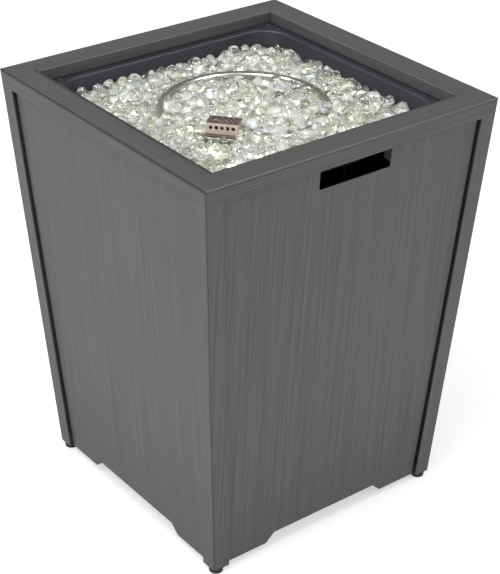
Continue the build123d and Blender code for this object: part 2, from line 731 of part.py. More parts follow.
def tank_bolt():
    """Retaining bolt with two wings, backed off."""
    z = tank_bolt_z()
    tip = -COLLAR_RADIUS - TANK_BOLT_BACK
    head = tip - TANK_BOLT_LENGTH
    bolt = rod(TANK_BOLT_RADIUS, (0, head, z), (0, tip, z))
    hub = rod(TANK_HUB_RADIUS, (0, head, z), (0, head + TANK_HUB_LENGTH, z))
    wing = Plane(origin=(0, head + TANK_HUB_LENGTH / 2, z), x_dir=(1, 0, 0), z_dir=(0, -1, 0))
    outline = SlotOverall(*TANK_WINGS)
    for side in (-1, 1):
        outline -= Pos(side * TANK_WING_HOLE_PLACE, 0) * Circle(TANK_WING_HOLE)
    return bolt + hub + extrude(wing * outline, amount=TANK_WING_WALL / 2, both=True)


# ---- Burner pan ----
def pan_outer(grow):
    """The basin's solid form down to its foot, larger by a margin all round."""
    height = PAN_DEPTH - PAN_WALL + grow
    outline = rounded_square(PAN_RIM + grow, PAN_CORNER + grow)
    form = extrude(Pos(0, 0, FLANGE_TOP_Z) * outline, amount=-height, taper=PAN_DRAFT)
    floor = form.edges().group_by(Axis.Z)[0]
    return fillet(floor, PAN_FLOOR_RADIUS + grow)


def pilot_frame(x, y, z):
    """Point given across and in front of the pilot, in the part's frame."""
    return Vector(x, y, z).rotate(Axis.Z, PILOT_TURN)


def pilot_rod_places():
    """Where the pilot tube, electrode and thermocouple come up through the pan."""
    y = -PILOT_FRONT + CAGE_DEPTH / 2
    return [pilot_frame(PILOT_SHIFT + x, y, 0) for x in (-PILOT_ROD_PITCH, 0, PILOT_ROD_PITCH)]


def burner_pan():
    """Pressed pan with a flat flange, a rolled rim, and holes for the burner, pilot and drains."""
    flange_half = RAIL_INNER + PAN_LAP
    flange = Pos(0, 0, FLANGE_FOOT_Z) * rounded_square(flange_half, PAN_FLANGE_CORNER)
    pan = extrude(flange, amount=PAN_WALL)
    pan = pan + pan_outer(PAN_WALL) - pan_outer(0)
    rim = [
        edge for edge in pan.edges()
        if abs(edge.center().Z - FLANGE_TOP_Z) < 0.01
        and max(abs(edge.center().X), abs(edge.center().Y)) < PAN_RIM + PAN_WALL / 2
    ]
    pan = fillet(rim, PAN_RIM_RADIUS)
    holes = [(x, y, SCREW_RADIUS) for x, y in pan_screw_places()]
    holes += [(0, 0, NIPPLE_RADIUS + NIPPLE_CLEARANCE)]
    holes += [(x, y, DRAIN_RADIUS) for x, y in bolt_places(DRAIN_PLACE)]
    holes += [(p.X, p.Y, ROD_HOLE_RADIUS) for p in pilot_rod_places()]
    for x, y, radius in holes:
        pan -= rod(radius, (x, y, PAN_FOOT_Z - CUT), (x, y, TOP_Z))
    return pan


def pan_screws():
    """Pan-headed screws that hold the flange to the gussets."""
    screws = []
    for x, y in pan_screw_places():
        head = rod(SCREW_HEAD_RADIUS, (x, y, FLANGE_TOP_Z), (x, y, FLANGE_TOP_Z + SCREW_HEAD))
        head = fillet(head.edges().group_by(Axis.Z)[-1], SCREW_HEAD_CROWN)
        screws.append(head + rod(SCREW_RADIUS, (x, y, APRON_Z), (x, y, FLANGE_TOP_Z + CUT)))
    return group(screws)


# ---- Burner ----
def burner_ring():
    """Round tube with drilled ports, joined by a cross tube to the hub."""
    ring = Pos(0, 0, BURNER_Z) * Rot(0, 0, RING_SEAM) * Torus(RING_RADIUS, TUBE_RADIUS)
    cross = rod(TUBE_RADIUS, (-RING_RADIUS, 0, BURNER_Z), (RING_RADIUS, 0, BURNER_Z))
    hub = rod(HUB_RADIUS, (0, 0, PAN_FLOOR_Z), (0, 0, BURNER_Z + TUBE_RADIUS + HUB_RISE))
    hub = fillet(hub.edges().group_by(Axis.Z)[-1], HUB_CROWN)
    burner = ring + cross + hub
    burner -= rod(NIPPLE_RADIUS, (0, 0, PAN_FLOOR_Z - CUT), (0, 0, PAN_FLOOR_Z + NIPPLE_GRIP))
    for index in range(PORT_COUNT):
        angle = math.radians((index + 0.5) * 360 / PORT_COUNT)
        x, y = RING_RADIUS * math.cos(angle), RING_RADIUS * math.sin(angle)
        burner -= rod(PORT_RADIUS, (x, y, BURNER_Z), (x, y, BURNER_Z + TUBE_RADIUS + CUT))
    return burner


def burner_nipple():
    """Threaded tube from the hub through the pan floor to the mixer."""
    low, high = PAN_FOOT_Z - NUT_HEIGHT - NIPPLE_TAIL, PAN_FLOOR_Z + NIPPLE_GRIP
    tube = rod(NIPPLE_RADIUS, (0, 0, low), (0, 0, high))
    return tube - rod(NIPPLE_BORE, (0, 0, low - CUT), (0, 0, high + CUT))


def burner_nut():
    outline = RegularPolygon(NUT_ACROSS / 2, 6, major_radius=False) - Circle(NIPPLE_RADIUS)
    return extrude(Pos(0, 0, PAN_FOOT_Z - NUT_HEIGHT) * outline, amount=NUT_HEIGHT)


def air_mixer():
    """Venturi under the pan with air slots, and an elbow that takes the gas pipe."""
    high = PAN_FOOT_Z - NUT_HEIGHT
    low, r = VALVE_Z + ELBOW_HEIGHT / 2, MIXER_RADIUS
    foot, neck = low + MIXER_FOOT, high - MIXER_COLLAR
    profile = make_face(
        Polyline((0, low), (r, low), (r, foot))
        + Spline((r, foot), (MIXER_WAIST, (foot + neck) / 2), (r, neck), tangents=[(0, 1), (0, 1)])
        + Polyline((r, neck), (r, high), (0, high), (0, low))
    )
    mixer = revolve(Plane.XZ * profile, Axis.Z)
    mixer -= rod(NIPPLE_RADIUS, (0, 0, high - NIPPLE_TAIL), (0, 0, high + CUT))
    mixer -= rod(NIPPLE_BORE, (0, 0, low + MIXER_BASE), (0, 0, high))
    slot = block((-MIXER_SLOT_WIDTH / 2, 0, foot + CUT), (MIXER_SLOT_WIDTH / 2, r + CUT, neck))
    for index in range(MIXER_SLOTS):
        mixer -= turned(slot, 45 + index * 360 / MIXER_SLOTS)
    side = ELBOW_SIDE / 2
    elbow = block((-side, -side, low - ELBOW_HEIGHT), (side, side, low))
    elbow = fillet(elbow.edges().filter_by(Axis.Z), ELBOW_ROUND)
    spud = rod(PIPE_RADIUS + SPUD_WALL, (side, 0, VALVE_Z), (side + SPUD_LENGTH, 0, VALVE_Z))
    socket = rod(PIPE_RADIUS, (pipe_end(), 0, VALVE_Z), (side + SPUD_LENGTH + CUT, 0, VALVE_Z))
    return mixer + elbow + spud - socket


def pipe_end():
    """How far from the centre line the gas pipe ends, inside the mixer's elbow."""
    return ELBOW_SIDE / 2 - PIPE_SEAT


def valve_back():
    return CONTROL_Y + CONTROL_WALL + VALVE_SIZE[1]


def gas_pipe():
    """Bent tube from the valve to the mixer."""
    start = valve_back() + VALVE_SPUD_LENGTH - PIPE_GRIP
    path = FilletPolyline(
        (VALVE_X, start, VALVE_Z), (VALVE_X, PIPE_TURN_Y, VALVE_Z), (PIPE_TURN_X, 0, VALVE_Z),
        (pipe_end(), 0, VALVE_Z), radius=PIPE_BEND,
    )
    plane = Plane(origin=(VALVE_X, start, VALVE_Z), z_dir=(0, 1, 0))
    section = plane * (Circle(PIPE_RADIUS) - Circle(PIPE_RADIUS - PIPE_WALL))
    return sweep(section, path=path)


def cap_radius(reach, rise):
    """Radius of the ball whose cap has this reach and rise."""
    return (reach ** 2 + rise ** 2) / 2 / rise


def glass_height(x, y):
    """Surface of the glass between its lumps."""
    radius = cap_radius(GLASS_HEAP_RADIUS, GLASS_HEAP)
    away = math.dist((x, y), GLASS_HEAP_PLACE)
    level = FLANGE_TOP_Z - GLASS_LEVEL
    if away > GLASS_HEAP_RADIUS:
        return level
    return level + GLASS_HEAP - radius + math.sqrt(radius ** 2 - away ** 2)


def glass_lump_places():
    """Evenly spread places in the basin, none where the burner's tubes stand out of the glass."""
    golden_angle = math.pi * (3 - math.sqrt(5))
    reach = PAN_RIM - GLASS_LUMP_MARGIN
    count = math.ceil(math.pi * 2 * (reach / GLASS_LUMP_PITCH) ** 2)
    places = []
    for index in range(count):
        out = GLASS_LUMP_PITCH * math.sqrt((index + 0.5) / math.pi)
        x, y = out * math.cos(index * golden_angle), out * math.sin(index * golden_angle)
        beside = min(abs(out - RING_RADIUS), abs(y) if out < RING_RADIUS else FAR)
        buried = glass_height(x, y) > BURNER_Z + TUBE_RADIUS
        if max(abs(x), abs(y)) < reach and (buried or beside > GLASS_LUMP_RADIUS + TUBE_RADIUS):
            places.append((x, y))
    return places


def fire_glass():
    """The heap of glass as one body: lumpy and level, with a low mound towards the front left."""
    form = pan_outer(-GLASS_CLEARANCE)
    level = FLANGE_TOP_Z - GLASS_LEVEL
    heap = block((-FAR, -FAR, PAN_FLOOR_Z - CUT), (FAR, FAR, level))
    balls = [(*GLASS_HEAP_PLACE, level + GLASS_HEAP, cap_radius(GLASS_HEAP_RADIUS, GLASS_HEAP))]
    lump_radius = cap_radius(GLASS_LUMP_RADIUS, GLASS_LUMP_HEIGHT)
    balls += [(x, y, glass_height(x, y) + GLASS_LUMP_HEIGHT, lump_radius)
              for x, y in glass_lump_places()]
    above = block((-FAR, -FAR, level - CUT), (FAR, FAR, TOP_Z))
    for x, y, top, radius in balls:
        heap += above & (Pos(x, y, top - radius) * Sphere(radius))
    glass = form & heap
    gap = GLASS_CLEARANCE
    glass -= Pos(0, 0, BURNER_Z) * Torus(RING_RADIUS, TUBE_RADIUS + gap)
    glass -= rod(TUBE_RADIUS + gap, (-RING_RADIUS, 0, BURNER_Z), (RING_RADIUS, 0, BURNER_Z))
    glass -= rod(HUB_RADIUS + gap, (0, 0, PAN_FLOOR_Z - CUT), (0, 0, TOP_Z))
    half = CAGE_WIDTH / 2 + gap
    well = block(
        (PILOT_SHIFT - half, -PILOT_FRONT - PILOT_LIP_REACH - PILOT_WELL_GAP, PAN_FLOOR_Z - CUT),
        (PILOT_SHIFT + half, -PILOT_FRONT + CAGE_DEPTH + gap, TOP_Z),
    )
    glass -= turned(well, PILOT_TURN)
    return glass.solids().sort_by(SortBy.VOLUME)[-1]


# ---- Pilot ----
def cage_foot_z():
    return BURNER_Z + TUBE_RADIUS + PILOT_PLATE_WALL


def pilot_plate():
    """Bracket on top of the burner tube, with two slots in its lip and holes for three rods."""
    low = BURNER_Z + TUBE_RADIUS
    left, right = PILOT_SHIFT - CAGE_WIDTH / 2, PILOT_SHIFT + CAGE_WIDTH / 2
    front, back = -PILOT_FRONT - PILOT_LIP_REACH, -PILOT_FRONT + CAGE_DEPTH
    plate = block((left, front, low), (right, back, low + PILOT_PLATE_WALL))
    slot_back = -PILOT_FRONT - PILOT_SLOT_GAP
    for index in range(2):
        start = left + PILOT_SLOT_SET_IN + index * (PILOT_SLOT_LENGTH + PILOT_SLOT_BRIDGE)
        plate -= block((start, slot_back - PILOT_SLOT_WIDTH, low - CUT),
                       (start + PILOT_SLOT_LENGTH, slot_back, TOP_Z))
    plate = turned(plate, PILOT_TURN)
    for p in pilot_rod_places():
        plate -= rod(ROD_HOLE_RADIUS, (p.X, p.Y, low - CUT), (p.X, p.Y, TOP_Z))
    return plate


def pilot_cage():
    """Perforated hood over the pilot flame, open below."""
    left, right = PILOT_SHIFT - CAGE_WIDTH / 2, PILOT_SHIFT + CAGE_WIDTH / 2
    front, back = -PILOT_FRONT, -PILOT_FRONT + CAGE_DEPTH
    low, high, wall = cage_foot_z(), cage_foot_z() + CAGE_HEIGHT, CAGE_WALL
    hood = block((left, front, low), (right, back, high))
    hood = fillet(hood.edges().filter_by(Axis.Z) + hood.edges().group_by(Axis.Z)[-1], CAGE_EDGE)
    hood -= block((left + wall, front + wall, low - CUT), (right - wall, back - wall, high - wall))
    pitch = CAGE_WIDTH / (CAGE_HOLES + CAGE_HOLE_MARGIN)
    middle_z = low + CAGE_HEIGHT / 2
    for index in range(CAGE_HOLES):
        x, z = PILOT_SHIFT + (index - (CAGE_HOLES - 1) / 2) * pitch, high - CAGE_HOLE_DROP
        hood -= rod(CAGE_HOLE_RADIUS, (x, front - CUT, z), (x, back + CUT, z))
    row_pitch = CAGE_DEPTH / (CAGE_TOP_ROWS + CAGE_ROW_MARGIN)
    for row in range(CAGE_TOP_ROWS):
        y = (front + back) / 2 + (row - (CAGE_TOP_ROWS - 1) / 2) * row_pitch
        odd = row % 2
        for index in range(CAGE_HOLES - odd):
            x = PILOT_SHIFT + (index - (CAGE_HOLES - 1 - odd) / 2) * pitch
            hood -= rod(CAGE_TOP_HOLE_RADIUS, (x, y, middle_z), (x, y, high + CUT))
    for side in (-1, 1):
        y = (front + back) / 2 + side * CAGE_SIDE_PITCH / 2
        hood -= rod(CAGE_HOLE_RADIUS, (left - CUT, y, middle_z), (right + CUT, y, middle_z))
    return turned(hood, PILOT_TURN)


def pilot_parts():
    """Pilot tube with its hood, ignition electrode and thermocouple, up through the pan floor."""
    low, high = PAN_FOOT_Z - PILOT_ROD_DROP, cage_foot_z() + PILOT_ROD_RISE
    nozzle_top, tip = high + PILOT_NOZZLE_HEIGHT, high + PILOT_TIP
    tube_place, spark_place, sensor_place = pilot_rod_places()
    x, y = tube_place.X, tube_place.Y
    tube = rod(PILOT_TUBE_RADIUS, (x, y, low), (x, y, high))
    tube += rod(PILOT_NOZZLE_RADIUS, (x, y, high), (x, y, nozzle_top))
    tube -= rod(PILOT_TUBE_BORE, (x, y, high), (x, y, nozzle_top + CUT))
    x, y = spark_place.X, spark_place.Y
    insulator = rod(INSULATOR_RADIUS, (x, y, low), (x, y, high))
    insulator = chamfer(insulator.edges().group_by(Axis.Z)[-1], INSULATOR_EDGE)
    spark = insulator + rod(SPARK_RADIUS, (x, y, high - CUT), (x, y, tip))
    x, y = sensor_place.X, sensor_place.Y
    sensor = rod(PILOT_TUBE_RADIUS, (x, y, low), (x, y, PAN_FLOOR_Z + SENSOR_SLEEVE))
    sensor += rod(SENSOR_RADIUS, (x, y, low), (x, y, tip))
    sensor = fillet(sensor.edges().group_by(Axis.Z)[-1], SENSOR_RADIUS / 2)
    return tube, spark, sensor


# ---- Heat shield ----
def heat_shield():
    """Tray-shaped plate between burner and gas bottle."""
    half, wall = SHIELD_HALF, SHIELD_WALL
    shield = extrude(Pos(0, 0, SHIELD_Z) * rounded_square(half, SHIELD_CORNER), amount=SHIELD_RIM)
    inside = Pos(0, 0, SHIELD_Z + wall) * rounded_square(half - wall, SHIELD_CORNER - wall)
    shield -= extrude(inside, amount=SHIELD_RIM)
    for x, y in bolt_places(STANDOFF_PLACE):
        shield -= rod(STANDOFF_SCREW, (x, y, SHIELD_Z - CUT), (x, y, PAN_FOOT_Z))
    return shield


def shield_standoffs():
    """Spacers that hang the shield from the pan, with a screw head below."""
    posts = []
    for x, y in bolt_places(STANDOFF_PLACE):
        spacer = rod(STANDOFF_RADIUS, (x, y, SHIELD_Z + SHIELD_WALL), (x, y, PAN_FOOT_Z))
        head = rod(STANDOFF_RADIUS, (x, y, SHIELD_Z - STANDOFF_HEAD), (x, y, SHIELD_Z))
        screw_top = SHIELD_Z + SHIELD_WALL + STANDOFF_GRIP
        screw = rod(STANDOFF_SCREW, (x, y, SHIELD_Z - STANDOFF_HEAD), (x, y, screw_top))
        posts.append(spacer + screw + head)
    return group(posts)


# ---- Controls ----
def control_tab_right():
    """The plate's upper part stops short of the rim gusset."""
    return TOP_SIDE / 2 - GUSSET_REACH - CONTROL_TAB_GAP


def control_plate():
    """Plate behind the door, hung from the pan's flange, with the valve and igniter through it."""
    low, step, high = VALVE_Z - CONTROL_LOW, VALVE_Z + CONTROL_STEP, FLANGE_FOOT_Z
    left, right = CONTROL_X - CONTROL_WIDTH / 2, CONTROL_X + CONTROL_WIDTH / 2
    front, back = CONTROL_Y - CONTROL_TAB, CONTROL_Y + CONTROL_WALL
    tab = control_tab_right()
    outline = polygon([
        (left, low), (right, low), (right, step), (tab, step), (tab, high), (left, high),
    ])
    corners = [nearest(outline.vertices(), point) for point in
               ((left, low, 0), (right, low, 0), (right, step, 0))]
    outline = fillet(corners, CONTROL_CORNER)
    face = Plane(origin=(0, CONTROL_Y, 0), x_dir=(1, 0, 0), z_dir=(0, -1, 0))
    plate = extrude(face * outline, amount=-CONTROL_WALL)
    plate += block((left, front, high - CONTROL_WALL), (tab, back, high))
    neck_hole = STEM_RADIUS + VALVE_NECK_WALL + VALVE_NECK_GAP
    for x, radius in ((VALVE_X, neck_hole), (IGNITER_X, IGNITER_NECK)):
        plate -= rod(radius, (x, CONTROL_Y - CUT, VALVE_Z), (x, back + CUT, VALVE_Z))
    return plate


def control_screws():
    """Screws through the flange tab and at the valve's corners."""
    screws = []
    y, high = CONTROL_Y - CONTROL_SCREW_OUT, FLANGE_FOOT_Z - CONTROL_WALL
    left, right = CONTROL_X - CONTROL_WIDTH / 2, control_tab_right()
    for x in (left + CONTROL_SCREW_SET_IN, right - CONTROL_SCREW_SET_IN):
        screws.append(rod(CONTROL_SCREW_RADIUS, (x, y, high - CONTROL_SCREW_HEAD), (x, y, high)))
    across, up = VALVE_SCREW_SHIFT
    for side in (-1, 1):
        x, z = VALVE_X + side * across, VALVE_Z - side * up
        screws.append(
            rod(VALVE_SCREW_RADIUS, (x, CONTROL_Y - CONTROL_SCREW_HEAD, z), (x, CONTROL_Y, z)))
    return group(screws)


def along_stem(radius, start_y, end_y):
    """Round bar on the valve's axis."""
    return rod(radius, (VALVE_X, start_y, VALVE_Z), (VALVE_X, end_y, VALVE_Z))


def along_igniter(radius, start_y, end_y):
    """Round bar on the igniter's axis."""
    return rod(radius, (IGNITER_X, start_y, VALVE_Z), (IGNITER_X, end_y, VALVE_Z))


def gas_valve():
    """Valve body behind the plate, with an outlet spud behind and a bore for the stem."""
    width, depth, height = VALVE_SIZE
    near = CONTROL_Y + CONTROL_WALL
    body = block((VALVE_X - width / 2, near, VALVE_Z - height / 2),
                 (VALVE_X + width / 2, near + depth, VALVE_Z + height / 2))
    body = fillet(body.edges().filter_by(Axis.Y), VALVE_ROUND)
    body = chamfer(body.faces().sort_by(Axis.Y)[-1].edges(), VALVE_EDGE)
    neck_end, spud_end = CONTROL_Y - VALVE_NECK_OUT, valve_back() + VALVE_SPUD_LENGTH
    body += along_stem(STEM_RADIUS + VALVE_NECK_WALL, neck_end, near + CUT)
    body += along_stem(PIPE_RADIUS + SPUD_WALL, valve_back() - CUT, spud_end)
    body -= along_stem(STEM_RADIUS + STEM_CLEARANCE, neck_end - CUT, near + VALVE_BORE_DEPTH)
    return body - along_stem(PIPE_RADIUS, spud_end - PIPE_GRIP, spud_end + CUT)


def inlet_y():
    return CONTROL_Y + CONTROL_WALL + VALVE_SIZE[1] / 2


def gas_inlet():
    """Hexagon and flare fitting that points down from the valve."""
    x, y, high = VALVE_X, inlet_y(), VALVE_Z - VALVE_SIZE[2] / 2
    hex_low = high - INLET_HEX_HEIGHT
    thread_low = hex_low - INLET_LENGTH
    tip = thread_low - FLARE_HEIGHT
    hexagon = Pos(x, y, hex_low) * RegularPolygon(INLET_HEX_ACROSS / 2, 6, major_radius=False)
    flare = Cone(FLARE_TIP_RADIUS, INLET_RADIUS - FLARE_SHOULDER, FLARE_HEIGHT)
    fitting = extrude(hexagon, amount=INLET_HEX_HEIGHT)
    fitting += rod(INLET_RADIUS, (x, y, thread_low), (x, y, hex_low))
    fitting += Pos(x, y, thread_low - FLARE_HEIGHT / 2) * flare
    return fitting - rod(INLET_BORE, (x, y, tip - CUT), (x, y, hex_low + INLET_HEX_HEIGHT / 2))


def stem_collar():
    """Sprung washer that travels with the knob but doesn't turn."""
    front = WASHER_BACK - WASHER_WALL
    ring = along_stem(WASHER_RADIUS, front, WASHER_BACK)
    return ring - along_stem(STEM_RADIUS + STEM_CLEARANCE, front - CUT, WASHER_BACK + CUT)


def valve_knob():
    """Fluted knob with a pointer rib."""
    front = KNOB_BACK - KNOB_HEIGHT
    knob = along_stem(KNOB_RADIUS, front, KNOB_BACK)
    knob = fillet(knob.edges().group_by(Axis.Y)[0], KNOB_EDGE)
    flute_place = KNOB_RADIUS + FLUTE_SHIFT
    for index in range(KNOB_FLUTES):
        angle = 2 * math.pi * (index + 0.5) / KNOB_FLUTES
        x, z = VALVE_X + flute_place * math.cos(angle), VALVE_Z + flute_place * math.sin(angle)
        knob -= rod(FLUTE_RADIUS, (x, KNOB_BACK - FLUTE_END, z), (x, front - CUT, z))
    rib = block((VALVE_X - RIB_WIDTH / 2, front - RIB_HEIGHT, VALVE_Z),
                (VALVE_X + RIB_WIDTH / 2, front + CUT, VALVE_Z + KNOB_RADIUS - KNOB_EDGE))
    knob = knob + fillet(rib.edges().group_by(Axis.Y)[0], RIB_EDGE)
    return knob - along_stem(STEM_RADIUS, KNOB_BACK - KNOB_BORE_DEPTH, KNOB_BACK + CUT)


def valve_stem():
    """Stem in the knob's bore and the valve's."""
    back = CONTROL_Y + CONTROL_WALL + VALVE_BORE_DEPTH - KNOB_TRAVEL - STEM_END_GAP
    return along_stem(STEM_RADIUS, KNOB_BACK - KNOB_BORE_DEPTH, back)


def igniter_module():
    """Battery igniter in the plate: a long barrel behind and a threaded neck in front."""
    near, neck_end = CONTROL_Y + CONTROL_WALL, CONTROL_Y - IGNITER_NECK_OUT
    back = near + IGNITER_LENGTH
    barrel = along_igniter(IGNITER_RADIUS, near, back)
    module = chamfer(barrel.edges().group_by(Axis.Y)[-1], IGNITER_EDGE)
    module += along_igniter(IGNITER_NECK, neck_end, near + CUT)
    width, length, height = IGNITER_TERMINAL
    for side in (-1, 1):
        x = IGNITER_X + side * IGNITER_TERMINAL_PITCH / 2
        module += block((x - width / 2, back - CUT, VALVE_Z - height / 2),
                        (x + width / 2, back - CUT + length, VALVE_Z + height / 2))
    bore_end = button_back() + BUTTON_TRAVEL + BUTTON_END_GAP
    return module - along_igniter(BUTTON_RADIUS + BUTTON_CLEARANCE, neck_end - CUT, bore_end)


def igniter_nut():
    """Ribbed ring nut on the igniter's neck."""
    outline = RegularPolygon(IGNITER_NECK + IGNITER_NUT_WALL, 12) - Circle(IGNITER_NECK)
    plane = Plane(origin=(IGNITER_X, CONTROL_Y, VALVE_Z), x_dir=(1, 0, 0), z_dir=(0, -1, 0))
    return extrude(plane * outline, amount=IGNITER_NUT_HEIGHT)


def button_back():
    return CONTROL_Y - IGNITER_NECK_OUT - BUTTON_OUT + BUTTON_LENGTH


def igniter_button():
    """Push button in the igniter's neck."""
    button = along_igniter(BUTTON_RADIUS, button_back() - BUTTON_LENGTH, button_back())
    return fillet(button.edges().group_by(Axis.Y)[0], BUTTON_EDGE)


# ---- Assembly ----
def build():
    """Every sub-part by its node name."""
    parts = {}
    for side, angle in SIDES.items():
        parts[f"top_rail_{side}"] = turned(top_rail(), angle)
    for corner, angle in CORNERS.items():
        parts[f"post_{corner}"] = turned(corner_post(), angle)
        parts[f"rim_gusset_{corner}"] = drilled_gusset(angle)
        parts[f"foot_{corner}"] = turned(foot(), angle)
    for side in ("right", "back", "left"):
        parts[f"panel_{side}"] = turned(fixed_panel(), SIDES[side])
        parts[f"panel_clips_{side}"] = panel_clips(SIDES[side])
    parts["door_panel"] = door_panel()
    parts["door_pivot_pins"] = door_pivot_pins()
    parts["door_strikes"] = door_strikes()
    parts["door_pivot_brackets"] = door_pivot_brackets()
    parts["door_magnets"] = door_magnets()
    parts["base_shelf"] = base_shelf()
    parts["shelf_brackets"] = shelf_brackets()
    parts["shelf_bolts"] = shelf_bolts()
    parts["tank_collar"] = tank_collar()
    parts["tank_bolt"] = tank_bolt()
    parts["burner_pan"] = burner_pan()
    parts["pan_screws"] = pan_screws()
    parts["burner_ring"] = burner_ring()
    parts["burner_nipple"] = burner_nipple()
    parts["burner_nut"] = burner_nut()
    parts["air_mixer"] = air_mixer()
    parts["gas_pipe"] = gas_pipe()
    parts["fire_glass"] = fire_glass()
    parts["pilot_plate"] = pilot_plate()
    parts["pilot_cage"] = pilot_cage()
    parts["pilot_burner"], parts["igniter_electrode"], parts["thermocouple"] = pilot_parts()
    parts["heat_shield"] = heat_shield()
    parts["shield_standoffs"] = shield_standoffs()
    parts["control_plate"] = control_plate()
    parts["control_screws"] = control_screws()
    parts["gas_valve"] = gas_valve()
    parts["gas_inlet"] = gas_inlet()
    parts["stem_collar"] = stem_collar()
    parts["valve_knob"] = valve_knob()
    parts["valve_stem"] = valve_stem()
    parts["igniter_module"] = igniter_module()
    parts["igniter_nut"] = igniter_nut()
    parts["igniter_button"] = igniter_button()
    return parts


os.makedirs("parts", exist_ok=True)
for name, shape in build().items():
    export_step(shape, f"parts/{name}.step")
_, pivot_y, pivot_z = pivot_point(0)
print(f"pivot line y {pivot_y:.3f} z {pivot_z:.3f}")
print(f"valve axis z {VALVE_Z:.3f} plate y {CONTROL_Y:.3f} inlet y {inlet_y():.3f}")
print(f"apron z {APRON_Z:.3f} flange top z {FLANGE_TOP_Z:.3f} pan floor z {PAN_FLOOR_Z:.3f}")
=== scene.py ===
import math

import bpy
import numpy as np
from bpy.props import FloatProperty, FloatVectorProperty, IntProperty, PointerProperty
from mathutils import Matrix, Vector
from mathutils.bvhtree import BVHTree


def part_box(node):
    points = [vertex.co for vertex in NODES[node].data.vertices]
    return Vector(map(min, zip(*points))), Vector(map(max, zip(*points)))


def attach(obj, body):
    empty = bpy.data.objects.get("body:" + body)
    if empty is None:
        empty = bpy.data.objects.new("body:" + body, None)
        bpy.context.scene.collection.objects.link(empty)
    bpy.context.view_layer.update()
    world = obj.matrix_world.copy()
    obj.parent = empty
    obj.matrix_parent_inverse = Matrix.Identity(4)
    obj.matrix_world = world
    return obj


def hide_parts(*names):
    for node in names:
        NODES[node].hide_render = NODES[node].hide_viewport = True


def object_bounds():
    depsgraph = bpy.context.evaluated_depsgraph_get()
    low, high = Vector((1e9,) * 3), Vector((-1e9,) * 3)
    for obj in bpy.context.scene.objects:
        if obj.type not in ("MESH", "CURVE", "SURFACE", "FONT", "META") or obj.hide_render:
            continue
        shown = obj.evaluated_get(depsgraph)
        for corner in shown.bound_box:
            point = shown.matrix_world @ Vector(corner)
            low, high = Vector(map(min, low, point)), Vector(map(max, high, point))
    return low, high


bl_info = {
    "name": "Gas fire pit column",
    "version": (1, 0, 0),
    "blender": (4, 5, 0),
    "location": "View3D > Sidebar > Fire pit",
    "description": "Finishes and loose pieces of a square gas fire pit",
    "category": "Object",
}

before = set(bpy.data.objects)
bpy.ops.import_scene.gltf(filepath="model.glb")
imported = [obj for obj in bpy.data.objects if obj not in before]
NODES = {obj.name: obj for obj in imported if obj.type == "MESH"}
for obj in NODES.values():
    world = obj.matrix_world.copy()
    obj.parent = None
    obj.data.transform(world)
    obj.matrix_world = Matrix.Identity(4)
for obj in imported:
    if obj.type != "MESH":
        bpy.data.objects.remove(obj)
CAD_LOW, CAD_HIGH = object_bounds()

# ---- Sizes read from the frame, in metres ----
MM = 0.001
TOP_Z = CAD_HIGH.z
TOP_HALF = CAD_HIGH.x
POST_WIDTH = 27.4 * MM  # of a post at its foot
FOOT_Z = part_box("post_front_left")[0].z
FOOT_HALF = -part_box("post_front_left")[1].x + POST_WIDTH
LEAN = (TOP_HALF - FOOT_HALF) / (TOP_Z - FOOT_Z)
RAIL_INNER = -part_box("top_rail_front")[1].y
FLANGE_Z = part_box("burner_pan")[1].z
TUBE_RADIUS = 6.35 * MM
HUB_RISE = 1.0 * MM  # how far the burner's hub stands above its tubes
RING_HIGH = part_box("burner_ring")[1]
RING_RADIUS = RING_HIGH.x - TUBE_RADIUS
CROSS_Z = RING_HIGH.z - HUB_RISE - TUBE_RADIUS
PLATE_LOW, PLATE_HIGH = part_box("pilot_plate")
PLATE_MIDDLE = (PLATE_LOW + PLATE_HIGH) / 2

# ---- Lines along the frame's edges ----
ROUND_OVER = 2.0 * MM  # radius of the rails' outer edge
ROUNDED = (0.6 * ROUND_OVER, ROUND_OVER)  # depth between which that edge ends
CORNER_FADE = (0.6, 0.9)  # a corner's line fades between these shares of the width
LINE_FADE = (0.8, 1.2)  # the same for the lines under the top and at the foot
CORNER_DARKNESS = 0.6
OFF_LEFT_DARKNESS = 0.45  # of the line under the top, off the left side
OUTER_SKIN = (0.7 * MM, 1.2 * MM)  # that line keeps this near the outer faces
RIDGE_FADE = (1.0 * MM, 2.0 * MM)  # painted line on the rails' rounded outer edge: painted highlight on the front rail, painted shade on the far rails
INNER_FADE = (0.6 * MM, 2.0 * MM)  # painted highlight line on the far rails' rounded inner edge
ROLL_SHADE_WIDTHS = (3.6 * MM, 6.4 * MM)  # painted shade strip on the inner roll of the front rail and the left one
ROLL_SHADE_FADE = (0.85, 1.15)
ROLL_SHADE_DEPTH = (4.0 * MM, 6.0 * MM)  # how far down the painted shade strip reaches
LEFT_RIDGE = (1.0 * MM, 1.7 * MM)  # painted shade line on the left rail's rounded outer edge
LEFT_DEPTH = (3.3 * MM, 4.0 * MM)
HIGHLIGHT_SHARE, HIGHLIGHT_FACTOR = 0.5, 1.6  # how far the painted highlight lines cover, and their brightness
# share by which the dark lines, base coat and painted shade alike, cover the coat
DARK_SHARE = 0.85

# ---- Brush streaks: wider by, longer by, place in the noise, weight ----
STREAK_LAYERS = ((1.0, 1.0, 0.0, 0.68), (4.0, 1.5, 5.0, 0.32))
STREAK_GAIN = 2.2  # widens the contrast, as the noise stays near its middle
FOOT_SHADE_SPAN = (-50.0 * MM, 260.0 * MM)  # above the posts' feet, where the painted shade towards the foot fades
LOOKS_UP = (0.6, 0.95)  # upward part of a normal, from upright to top, over which the tops' painted shade comes in
# Painted shade: the top rails' coat made darker, the front and back rails most.
CROSSWISE_SHADE, LENGTHWISE_SHADE = 0.92, 0.95

